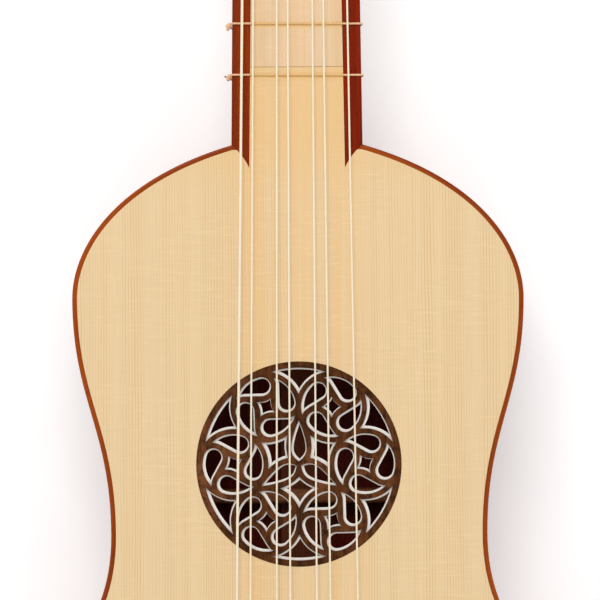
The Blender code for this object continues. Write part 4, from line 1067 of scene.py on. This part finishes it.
def build_bridge(woods):
    low = BODY_DEPTH + JOINT
    slope = []
    steps = 22
    for i in range(steps + 1):
        share = i / steps
        ease = (1.0 - math.cos(math.pi * share)) / 2.0
        x = BRIDGE_WING_HALF - (BRIDGE_WING_HALF - BRIDGE_BLOCK_HALF) * (0.25 + 0.75 * share)
        slope.append((x, BRIDGE_WING_HEIGHT + (BRIDGE_HEIGHT - BRIDGE_WING_HEIGHT) * ease))
    half = [(BRIDGE_WING_HALF, 0.0), (BRIDGE_WING_HALF, BRIDGE_WING_HEIGHT * 0.8)] + slope
    profile = half + [(-x, h) for x, h in reversed(half)]
    rings = [[Vector((x, y, low + h)) for x, h in profile] for y in (-BRIDGE_DEPTH, 0.0)]
    holes = []
    for string in strings():
        start = Vector((string["bridge_x"], BRIDGE_DEPTH, BODY_DEPTH + BRIDGE_STRING_Z))
        end = start - Vector((0.0, 3.0 * BRIDGE_DEPTH, 0.0))
        holes.append(round_cutter(start, end, string["diameter"] / 2.0 + STRING_HOLE_ROOM))
    data = cut(loft_mesh(rings), holes)
    add_piece("bridge", data, woods["strip_bass"], crosswise, bevel=0.0005, segments=3, seed=51.0)


# Strings
def strings():
    """Each string's places at the bridge, nut and peg, from bass to treble."""
    found = []
    pegs = peg_places()
    for course, (at_bridge, at_nut) in enumerate(zip(COURSES_AT_BRIDGE, COURSES_AT_NUT)):
        single = course == len(COURSES_AT_BRIDGE) - 1
        for side in (0.0,) if single else (-0.5, 0.5):
            index = len(found)
            diameter = STRING_DIAMETER if index else BASS_DIAMETER
            pitch = diameter + CORD_GAP
            string = {
                "diameter": diameter,
                "pitch": pitch,
                "bridge_x": at_bridge + side * PAIR_GAP_AT_BRIDGE,
                "nut_x": at_nut + side * PAIR_GAP_AT_NUT,
                "nut_z": BODY_DEPTH + NUT_ACTION + diameter / 2.0,
                "peg": pegs[index],
                "sense": 1.0 if pegs[index][0] < 0.0 else -1.0,
                "hole_rise": WINDING_START + pitch * (WINDING_TURNS + 0.5),
                "wind_radius": peg_radius(0.0) + RUNNING_GAP + diameter / 2.0,
            }
            from_peg = Vector((string["nut_x"] - pegs[index][0], -pegs[index][1]))
            spread = math.acos(string["wind_radius"] / from_peg.length)
            string["hole_angle"] = heading(from_peg) + string["sense"] * spread
            found.append(string)
    return found


def bridge_tie(string):
    """The end at the bridge: over the top, round its own string, through the hole from behind."""
    x = string["bridge_x"]
    z = BODY_DEPTH + BRIDGE_STRING_Z
    radius = string["diameter"] / 2.0
    turn = string["diameter"] + CORD_GAP
    out = radius + RUNNING_GAP
    top = BODY_DEPTH + GLUE_GAP + BRIDGE_HEIGHT + out
    rear = -BRIDGE_DEPTH - out
    points = [
        (x - turn, rear * 0.5, top),
        (x - turn, out * 0.2, top),
        (x - turn, out + radius, top - out),
        (x - turn, out + radius, z),
        (x - turn * 0.7, out + radius, z - turn * 0.75),
        (x, out + radius, z - turn),
        (x + turn * 0.7, out + radius, z - turn * 0.75),
        (x + turn, out + radius, z),
        (x + turn, out + radius, top - out),
        (x + turn * 0.8, out * 0.2, top),
        (x, rear + out * 0.5, top),
        (x, rear - out * 0.5, top - out),
        (x, rear - out * 0.5, z + out),
        (x, rear + out * 0.5, z),
    ]
    return [Vector(point) for point in points]


def peg_winding(string):
    """Turns round the peg, rising from the face, and the end through the peg's hole."""
    peg = Vector(string["peg"])
    radius = string["wind_radius"]
    pitch = string["pitch"]
    hole_angle = string["hole_angle"]
    turn_angle = math.tau * WINDING_TURNS

    def at(reach, angle, rise):
        return HEAD_PLANE @ Vector((*(peg + polar(reach, angle)), rise))

    points = []
    count = 44 * WINDING_TURNS
    for i in range(count):
        angle = turn_angle * i / count
        into_hole = max(0.0, (angle - turn_angle + math.pi) / math.pi)
        rise = WINDING_START + pitch * (angle / math.tau + 0.5 * into_hole)
        points.append(at(radius, hole_angle + string["sense"] * angle, rise))
    bend = radius + RUNNING_GAP * 0.5
    for reach in (bend, radius - string["diameter"], -peg_radius(0.0), -radius - STRING_END_LENGTH):
        points.append(at(reach, hole_angle, string["hole_rise"]))
    return points


def build_strings(material):
    for index, string in enumerate(strings(), 1):
        tie = smooth_route(bridge_tie(string), 6)
        inner_end = Vector((string["bridge_x"], -BRIDGE_DEPTH * 0.5, BODY_DEPTH + BRIDGE_STRING_Z))
        nut = Vector((string["nut_x"], NUT_Y - RUNNING_GAP * 2.0, string["nut_z"]))
        after = Vector((string["nut_x"], NUT_Y + NUT_LENGTH + RUNNING_GAP * 2.0, string["nut_z"]))
        open_length = [inner_end.lerp(nut, i / 30.0) for i in range(31)]
        winding = peg_winding(string)
        to_peg = [after.lerp(winding[0], i / 5.0) for i in range(5)]
        points = tie + open_length + to_peg + winding
        radii = [string["diameter"] / 2.0] * len(points)
        add_cord("string_%d" % index, sweep_mesh(points, radii, STRING_SIDES), material)


# Tied frets
def fret_stations():
    limit = SHOULDER_Y + HEEL_LENGTH + FRET_HEEL_CLEARANCE
    places = [STRING_LENGTH / 2.0 ** (n / 12.0) for n in range(1, 13)]
    return [y for y in places if y > limit]


def fret_route(y, hang):
    """A fret's way over the board, down and round the neck to its knot, with each point's swell."""
    away = FRET_DIAMETER / 2.0 + FRET_SEAT
    around = FRET_DIAMETER / 2.0 + FRET_SLACK
    level = BODY_DEPTH + away
    side_z = BODY_DEPTH - STRIP_EDGE_ROUND
    half = neck_half(y)
    corner = half - STRIP_EDGE_ROUND
    route = [(Vector((-half - 0.0006, y - 0.0002, level - 0.0001)), 0.9)]
    for i in range(21):
        route.append((Vector((corner * (i / 10.0 - 1.0), y - FRET_SLANT * i / 20.0, level)), 1.0))
    for i in range(1, 6):
        angle = math.pi / 2.0 * i / 5.0
        out = corner + (STRIP_EDGE_ROUND + around) * math.sin(angle)
        rise = side_z + (STRIP_EDGE_ROUND + away) * math.cos(angle)
        route.append((Vector((out, y - FRET_SLANT, rise)), 1.0))
    for k, point in enumerate(neck_underside(y, around, 24)):
        back = FRET_SLANT + (FRET_LAP - FRET_SLANT) * k / 24.0
        route.append((point - Vector((0.0, back, 0.0)), 1.0))
    route.append((Vector((-half - around, y - FRET_LAP, side_z - 0.0006)), 1.0))
    for out, down, rise, swell in FRET_KNOT:
        route.append((Vector((-half - out * hang, y - down * hang, level + rise)), swell))
    return route


def swollen_radii(swells, count):
    """Radii for the smoothed route, with an even change from each point's swell to the next."""
    radii = []
    for i in range(count):
        low = min(i // KNOT_STEPS, len(swells) - 2)
        share = i / KNOT_STEPS - low
        radii.append((swells[low] * (1.0 - share) + swells[low + 1] * share) * FRET_DIAMETER / 2.0)
    return radii


def mark_fret(mesh, y, ends, strength):
    """Marks in the grain: burnt ends of the knot, its wax, and over the board painted light, the pale board's
    golden glow through the translucent gut.
    """
    layer = mesh.verts.layers.float_vector.get("grain")
    for vertex in mesh.verts:
        mark = 0.0
        if vertex.co.x < -neck_half(y) - 0.0005:
            near = min((vertex.co - end).length for end in ends)
            mark = min(1.0, max(-0.55, 1.25 - near / FRET_BURN)) * strength
        # Over the board the fret is painted golden: painted light of the pale board seen through the
        # translucent gut
        elif abs(vertex.co.x) < strip_inner(y) and vertex.co.z > BODY_DEPTH - STRIP_EDGE_ROUND:
            mark = -1.0
        vertex[layer] = Vector((*vertex[layer][:2], mark))


def build_frets(material):
    """Each fret is one strand round the neck, and its knot shows both ends on the bass side."""
    for index, y in enumerate(fret_stations(), 1):
        uneven = math.sin(index * 2.3)
        route = fret_route(y, 1.14 - 0.14 * uneven)
        points = smooth_route([place for place, _ in route], KNOT_STEPS)
        radii = swollen_radii([swell for _, swell in route], len(points))
        mesh = sweep_mesh(points, radii, FRET_SIDES)
        ball = route[FRET_TAIL_ROW][0]
        tail = ball + Vector((-FRET_TAIL - FRET_DIAMETER / 2.0 * (1.0 + uneven), 0.0002, 0.0001))
        sweep_mesh([ball.lerp(tail, i / 4.0) for i in range(5)], [FRET_TAIL_RADIUS] * 5, 12, mesh)
        tip = points[-1] + (points[-1] - points[-2]).normalized() * radii[-1] * CORD_END_RISE
        mark_fret(mesh, y, (tip, tail), 0.75 + 0.3 * math.sin(index * 2.9))
        add_cord("fret_%d" % index, mesh, material)


# Rose
WINDOW_RADIUS = ROSE_RADIUS - ROSE_RING
ROUNDEL_RADIUS = (WINDOW_RADIUS - TRACERY_WIDTH) / 3.0
ROUNDEL_REACH = WINDOW_RADIUS - ROUNDEL_RADIUS


def turned(points, angle, centre):
    rotation = Matrix.Rotation(angle, 2)
    return [centre + rotation @ point for point in points]


def mouchette(inset):
    """One curved dagger of a roundel: head, straight flank, hollow towards its neighbour, tip."""
    outer = ROUNDEL_RADIUS - inset
    head = MOUCHETTE_HEAD - inset
    hollow = MOUCHETTE_HEAD + MOUCHETTE_STRIP + inset
    reach = ROUNDEL_RADIUS - MOUCHETTE_HEAD
    own = polar(reach, MOUCHETTE_TURN)
    following = polar(reach, MOUCHETTE_TURN + math.pi / 2.0)
    cosine = (outer**2 + reach**2 - hollow**2) / (2.0 * outer * reach)
    tip_angle = MOUCHETTE_TURN + math.pi / 2.0 - math.acos(cosine)
    tip = polar(outer, tip_angle)
    flank = heading(own - following) - math.asin((hollow + head) / (own - following).length)
    points = arc(MIDDLE_OF_ROSE, outer, tip_angle, MOUCHETTE_TURN, 10)
    points += arc(own, head, MOUCHETTE_TURN, flank - math.pi / 2.0, 18)[1:]
    points += arc(following, hollow, flank + math.pi / 2.0, heading(tip - following), 10)[:-1]
    return points


def star(inset):
    """The four-pointed star in the middle of a roundel."""
    mid = STAR_RADIUS / math.sqrt(2.0)
    radius = (mid**2 + STAR_HOLLOW**2) / (2.0 * STAR_HOLLOW)
    centre = polar(mid - STAR_HOLLOW + radius, math.pi / 4.0)
    grown = radius + inset
    point = Vector((centre.x - math.sqrt(grown**2 - centre.y**2), 0.0))
    start = heading(point - centre)
    end = 2.0 * (-0.75 * math.pi) - start
    if abs(end - start) > math.pi:
        end += math.tau
    side = arc(centre, grown, start, end, 8)[:-1]
    points = []
    for quarter in range(4):
        points += turned(side, math.pi / 2.0 * quarter, MIDDLE_OF_ROSE)
    return points


def spandrel(inset):
    """The three-cornered window between two roundels and the ring, pointing along +X."""
    outer = WINDOW_RADIUS - inset
    side = ROUNDEL_RADIUS + TRACERY_WIDTH + inset
    roundel = polar(ROUNDEL_REACH, -math.pi / 6.0)
    cosine = (outer**2 + ROUNDEL_REACH**2 - side**2) / (2.0 * outer * ROUNDEL_REACH)
    corner_angle = -math.pi / 6.0 + math.acos(cosine)
    corner = polar(outer, corner_angle)
    inner = Vector((roundel.x + math.sqrt(side**2 - roundel.y**2), 0.0))
    lower = arc(roundel, side, heading(inner - roundel), heading(corner - roundel), 12)
    points = lower[:-1] + arc(MIDDLE_OF_ROSE, outer, corner_angle, -corner_angle, 16)[:-1]
    return points + mirrored(lower[1:], 1.0, -1.0)


def inner_vertex(inset):
    """Where two roundels' inner edges cross, on the axis between them."""
    side = ROUNDEL_RADIUS + TRACERY_WIDTH + inset
    return ROUNDEL_REACH * math.cos(math.pi / 6.0) - math.sqrt(side**2 - (ROUNDEL_REACH / 2.0) ** 2)


def leaf(inset):
    """A leaf along +X: a long point outwards, a full belly and a blunt root."""
    tip = Vector((inner_vertex(0.0), 0.0))
    belly = Vector((LEAF_WIDEST, LEAF_HALF))
    root = Vector((LEAF_ROOT, 0.0))
    reach = tip.x - belly.x
    outer = (tip, tip + Vector((-0.36 * reach, 0.53 * LEAF_HALF)), belly + Vector((0.28 * reach, 0.0)), belly)
    inner = (belly, belly - Vector((0.0021, 0.0)), root + Vector((0.0013, 0.56 * LEAF_HALF)), root)
    side = []
    for controls in (outer, inner):
        for k in range(40 + (controls is inner)):
            point, slope = bezier(*controls, k / 40.0)
            side.append(point + Vector((-slope.y, slope.x)) * inset)
    side = [p for p in side if p.y > 0.0]
    first = side[0] + (side[0] - side[1]) * (side[0].y / max(1e-9, side[1].y - side[0].y))
    last = side[-1] + (side[-1] - side[-2]) * (side[-1].y / max(1e-9, side[-2].y - side[-1].y))
    upper = even_points([first] + side + [last], 26)
    return upper + mirrored(upper[1:-1], 1.0, -1.0)


def even_points(route, count):
    """The same route with its points an even way apart."""
    lengths = [0.0]
    for first, second in zip(route, route[1:]):
        lengths.append(lengths[-1] + (second - first).length)
    found = []
    k = 0
    for i in range(count + 1):
        way = lengths[-1] * i / count
        while k < len(route) - 2 and lengths[k + 1] < way:
            k += 1
        share = (way - lengths[k]) / max(1e-12, lengths[k + 1] - lengths[k])
        found.append(route[k].lerp(route[k + 1], min(1.0, share)))
    return found


def lozenge(inset):
    """A large four-pointed window along +X, hollowed on all sides."""
    side = ROUNDEL_RADIUS + TRACERY_WIDTH + inset
    roundel = polar(ROUNDEL_REACH, math.pi / 6.0)
    root = Vector((LOZENGE_ROOT, 0.0))
    corner = Vector((LOZENGE_SIDE_X, LOZENGE_SIDE_Y))
    chord = corner - root
    radius = (chord.length_squared / 4.0 + LOZENGE_HOLLOW**2) / (2.0 * LOZENGE_HOLLOW)
    out = Vector((-chord.y, chord.x)).normalized()
    centre = (root + corner) / 2.0 + out * (radius - LOZENGE_HOLLOW)
    radius += inset
    root = Vector((centre.x + math.sqrt(radius**2 - centre.y**2), 0.0))
    corner = circles_meet(roundel, side, centre, radius, corner)
    vertex = Vector((inner_vertex(inset), 0.0))
    start = heading(vertex - roundel) % math.tau
    end = heading(corner - roundel) % math.tau
    upper = arc(roundel, side, start, end, 8)
    upper += arc(centre, radius, heading(corner - centre), heading(root - centre), 8)[1:]
    return upper + mirrored(upper[1:-1], 1.0, -1.0)


def rose_loops(shift, ease, borders):
    """The rim and all 42 windows of the rose, in the plane of the soundboard.

    Borders shrink the windows: the mouchettes and spandrels, the stars, the lozenges, the leaves.
    """
    plain, star_border, lozenge_border, leaf_border = (b - ease for b in borders)
    loops = [arc(ROSE_CENTRE, ROSE_RADIUS - ease, 0.0, math.tau, 144)[:-1]]
    centre = ROSE_CENTRE + shift
    for k in range(6):
        angle = math.pi / 3.0 * k
        roundel = centre + polar(ROUNDEL_REACH, angle)
        lean = angle - math.pi / 3.0
        for quarter in range(4):
            loops.append(turned(mouchette(plain), lean + math.pi / 2.0 * quarter, roundel))
        loops.append(turned(star(star_border), lean, roundel))
        between = angle + math.pi / 6.0
        loops.append(turned(spandrel(plain), between, centre))
        middle = lozenge(lozenge_border) if k % 2 == 0 else leaf(leaf_border)
        loops.append(turned(middle, between, centre))
    return loops


def build_tracery(node, high, thickness, edge, shift, borders, material, seed):
    levels = []
    for z, ease in ((high - thickness, 0.0), (high - edge, 0.0), (high, edge)):
        levels.append((z, rose_loops(shift, ease, borders)))
    add_piece(node, plate_mesh(levels), material, sharp=20.0, seed=seed)


def build_rose(woods):
    high = BODY_DEPTH - ROSE_RECESS
    thick = ROSE_UPPER_THICKNESS
    plain = (0.0,) * 4
    build_tracery("rose_upper", high, thick, TRACERY_EDGE, MIDDLE_OF_ROSE, plain, woods["rose"], 61.0)
    high -= thick + JOINT
    thick = ROSE_LOWER_THICKNESS
    borders = (PARCHMENT_BORDER, STAR_BORDER, LOZENGE_BORDER, LEAF_BORDER)
    edge = TRACERY_EDGE * 0.5
    build_tracery("rose_lower", high, thick, edge, PARCHMENT_SHIFT, borders, woods["parchment"], 67.0)


# Inside the soundbox
def build_back_bars(material):
    """Bars across the back with a rounded crest, lowered ends and a notch over the strip."""
    for number in (1, 2, 3):
        node = "back_bar_%d" % number
        low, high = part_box(node)
        width = high.y - low.y
        middle = (low.y + high.y) / 2.0
        radius = width * BAR_CREST_SHARE
        rings = []
        for x, rise in (
            (low.x, BAR_END_HEIGHT),
            (low.x + BAR_END_LENGTH, high.z - low.z),
            (high.x - BAR_END_LENGTH, high.z - low.z),
            (high.x, BAR_END_HEIGHT),
        ):
            ring = [Vector((x, low.y, low.z)), Vector((x, high.y, low.z))]
            for side in (1.0, -1.0):
                for i in range(9):
                    angle = math.pi / 2.0 * (i if side > 0.0 else 8 - i) / 8.0
                    across = width / 2.0 - radius * (1.0 - math.cos(angle))
                    height = low.z + rise - radius * (1.0 - math.sin(angle))
                    ring.append(Vector((x, middle + side * across, height)))
            rings.append(ring)
        half = BACK_STRIP_WIDTH / 2.0 + GLUE_GAP
        top = low.z + BACK_STRIP_THICKNESS + GLUE_GAP
        corners = ((-half, low.z - width), (half, low.z - width), (half, top), (-half, top))
        ends = (low.y - width, high.y + width)
        notch = loft_mesh([[Vector((x, y, z)) for x, z in corners] for y in ends])
        add_piece(node, cut(loft_mesh(rings), [notch]), material, crosswise, seed=70.0 + number)


# Materials of all pieces
def inside_wood(name, pale, dark, along):
    """Bare planed wood inside the soundbox; along is the axis of its grain."""
    graph = Graph(name)
    place = graph.node("TexCoord").outputs["Object"]
    if along == "X":
        x, y, z = graph.split(place)
        place = graph.node("CombineXYZ", {0: y, 1: x, 2: z}).outputs[0]
    rings = growth_rings(graph, place, 0.0013, 0.006)
    fibres = graph.noise(place, (2400.0, 60.0, 2400.0), 2.0, 0.6)
    colour = graph.blend(graph.plus(graph.times(rings, 0.6), graph.times(fibres, 0.3)), pale, dark)
    roughness = graph.spread(fibres, 0.3, 0.7, 0.55, 0.72)
    return graph.finish(colour, roughness, fibres, 0.00005, Specular_IOR_Level=0.15)


def dress_inside():
    """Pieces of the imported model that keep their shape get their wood."""
    spruce = inside_wood("inner_spruce", rgb(226, 196, 150), rgb(188, 146, 98), "X")
    cedar = inside_wood("inner_strip", rgb(166, 92, 58), rgb(124, 62, 36), "Y")
    lining = inside_wood("lining_wood", rgb(214, 186, 142), rgb(180, 142, 96), "Y")
    linings = ["%s_lining_%s" % (level, side) for level in ("top", "back") for side in ("bass", "treble")]
    for material, names in (
        (spruce, ["top_bar_1", "top_bar_2", "top_bar_3"]),
        (cedar, ["back_strip"]),
        (lining, linings + ["neck_block", "tail_block"]),
    ):
        for name in names:
            data = frame["nodes"][name].data
            data.materials.clear()
            data.materials.append(material)


def build_woods():
    dark_wood = {"rough": 0.2, "gloss": 0.12}
    spruce = (rgb(238, 209, 163), rgb(204, 162, 106), rgb(240, 197, 136))
    board = (rgb(238, 208, 168), rgb(204, 160, 114), rgb(234, 194, 146))
    strip_bass = (rgb(150, 56, 12), rgb(104, 32, 4))
    strip_treble = (rgb(146, 40, 8), rgb(102, 22, 2))
    binding = (rgb(166, 74, 18), rgb(112, 38, 6))
    rib = (rgb(142, 54, 26), rgb(98, 31, 13))
    back = (rgb(146, 42, 20), rgb(100, 21, 8))
    neck = (rgb(150, 92, 52), rgb(104, 56, 28))
    rose = (rgb(104, 58, 24), rgb(56, 28, 10))
    cedar = (rgb(222, 146, 96), rgb(176, 102, 62))
    peg = (rgb(92, 46, 28), rgb(48, 20, 12))
    parchment = (rgb(255, 250, 243), rgb(246, 238, 228))
    bone = (rgb(238, 230, 208), rgb(226, 212, 182))
    string_gut = (rgb(254, 241, 216), rgb(247, 229, 196))
    fret_gut = (rgb(238, 194, 150), rgb(222, 174, 126))
    return {
        "spruce": softwood("spruce_top", *spruce, 0.00105, 0.58, 0.40, 0.60, 0.026),
        "board": softwood("pale_board", *board, 0.0016, 0.36, 0.25, 0.75, smudge=0.7),
        "strip_bass": hardwood("dark_strip", *strip_bass, 0.0021, 0.8, 0.55, **dark_wood),
        "strip_treble": hardwood("dark_strip_treble", *strip_treble, 0.0021, 0.8, 0.55, **dark_wood),
        "binding": hardwood("edge_binding", *binding, 0.0021, 0.8, 0.45, rough=0.24, gloss=0.12),
        "rib": hardwood("body_wood", *rib, 0.0026, 0.9, 0.6, 0.10),
        "back": hardwood("back_wood", *back, 0.0026, 0.9, 0.6, 0.08),
        "neck": hardwood("neck_wood", *neck, 0.0022, 0.7, 0.5, 0.10),
        "rose": hardwood("walnut_tracery", *rose, 0.0012, 1.0, 0.5, mottle=0.75, rough=0.5, gloss=0.08),
        "parchment": plain_matter("parchment_tracery", *parchment, (260.0, 260.0, 260.0), 0.6),
        "bone": plain_matter("bone", *bone, (420.0, 26.0, 420.0), 0.3, coat=0.3),
        "cedar": hardwood("inner_cedar", *cedar, 0.0013, 0.7, 0.3, rough=0.6, gloss=0.12),
        "peg": hardwood("peg_wood", *peg, 0.0011, 0.8, 0.35, rough=0.26, coat=0.3, gloss=0.4),
        "gut": gut("string_gut", *string_gut, 0.0016, 0.32, 0.2),
        "fret_gut": gut("fret_gut", *fret_gut, 0.0017, 0.36, 0.4),
    }


# Light and camera
FLOOR_SIZE = 4.0
FLOOR_GLOW = 0.28
AMBIENT = 0.74
DIM_SKY = 0.03
DIM_SKY_FROM = 0.76
DIM_SKY_TO = 0.93
LAMP_PLACE = Vector((-0.17, 1.33, 1.73))
LAMP_AIM = Vector((0.0, 0.24, 0.05))
LAMP_POWER = 13.9
LAMP_SIZE = 0.86
VIEW_CENTRE = Vector((0.00077, 0.23724, BODY_DEPTH))
VIEW_WIDTH = 0.2231
LENS = 200.0
SENSOR = 36.0
CAMERA_ROLL = -0.006


def build_stage():
    mesh = bmesh.new()
    bmesh.ops.create_grid(mesh, x_segments=8, y_segments=8, size=FLOOR_SIZE)
    floor = new_object("floor", bpy.data.meshes.new("floor"))
    mesh.to_mesh(floor.data)
    mesh.free()
    floor.data.materials.append(floor_material())

    lamp = new_object("key", bpy.data.lights.new("key", "AREA"))
    lamp.data.energy = LAMP_POWER
    lamp.data.size = LAMP_SIZE
    lamp.location = LAMP_PLACE
    lamp.rotation_euler = (LAMP_AIM - LAMP_PLACE).to_track_quat("-Z", "Y").to_euler()


def build_world():
    """An even white sky. Mirrored rays see it dark overhead, and the camera sees it plain white."""
    graph = Graph("studio", bpy.data.worlds)
    bpy.context.scene.world = graph.owner
    back = graph.tree.nodes["Background"]
    back.inputs["Color"].default_value = (1.0, 1.0, 1.0, 1.0)
    path = graph.node("LightPath").outputs
    height = graph.split(graph.node("TexCoord").outputs["Generated"])[2]
    dim = graph.spread(height, DIM_SKY_FROM, DIM_SKY_TO, AMBIENT, AMBIENT * DIM_SKY)
    lit = graph.node("Mix", {0: path["Is Glossy Ray"], 2: AMBIENT, 3: dim}).outputs[0]
    seen = graph.math("MAXIMUM", path["Is Camera Ray"], path["Is Transmission Ray"])
    graph.join(graph.node("Mix", {0: seen, 2: lit, 3: 1.0}).outputs[0], back.inputs["Strength"])


def build_camera():
    data = bpy.data.cameras.new("camera")
    data.lens = LENS
    data.sensor_width = SENSOR
    data.clip_start = 0.01
    data.clip_end = 20.0
    camera = new_object("camera", data)
    camera.location = VIEW_CENTRE + Vector((0.0, 0.0, VIEW_WIDTH * LENS / SENSOR))
    camera.rotation_euler = (0.0, 0.0, CAMERA_ROLL)
    bpy.context.scene.camera = camera


woods = build_woods()
build_camera()
build_stage()
build_world()
build_soundbox(woods)
build_top(woods)
build_neck(woods)
build_head(woods)
build_bridge(woods)
for number, one_string in enumerate(strings(), 1):
    build_peg(number, one_string, woods["peg"])
build_strings(woods["gut"])
build_frets(woods["fret_gut"])
build_rose(woods)
build_back_bars(woods["cedar"])
dress_inside()
bpy.context.scene.view_settings.view_transform = "Standard"
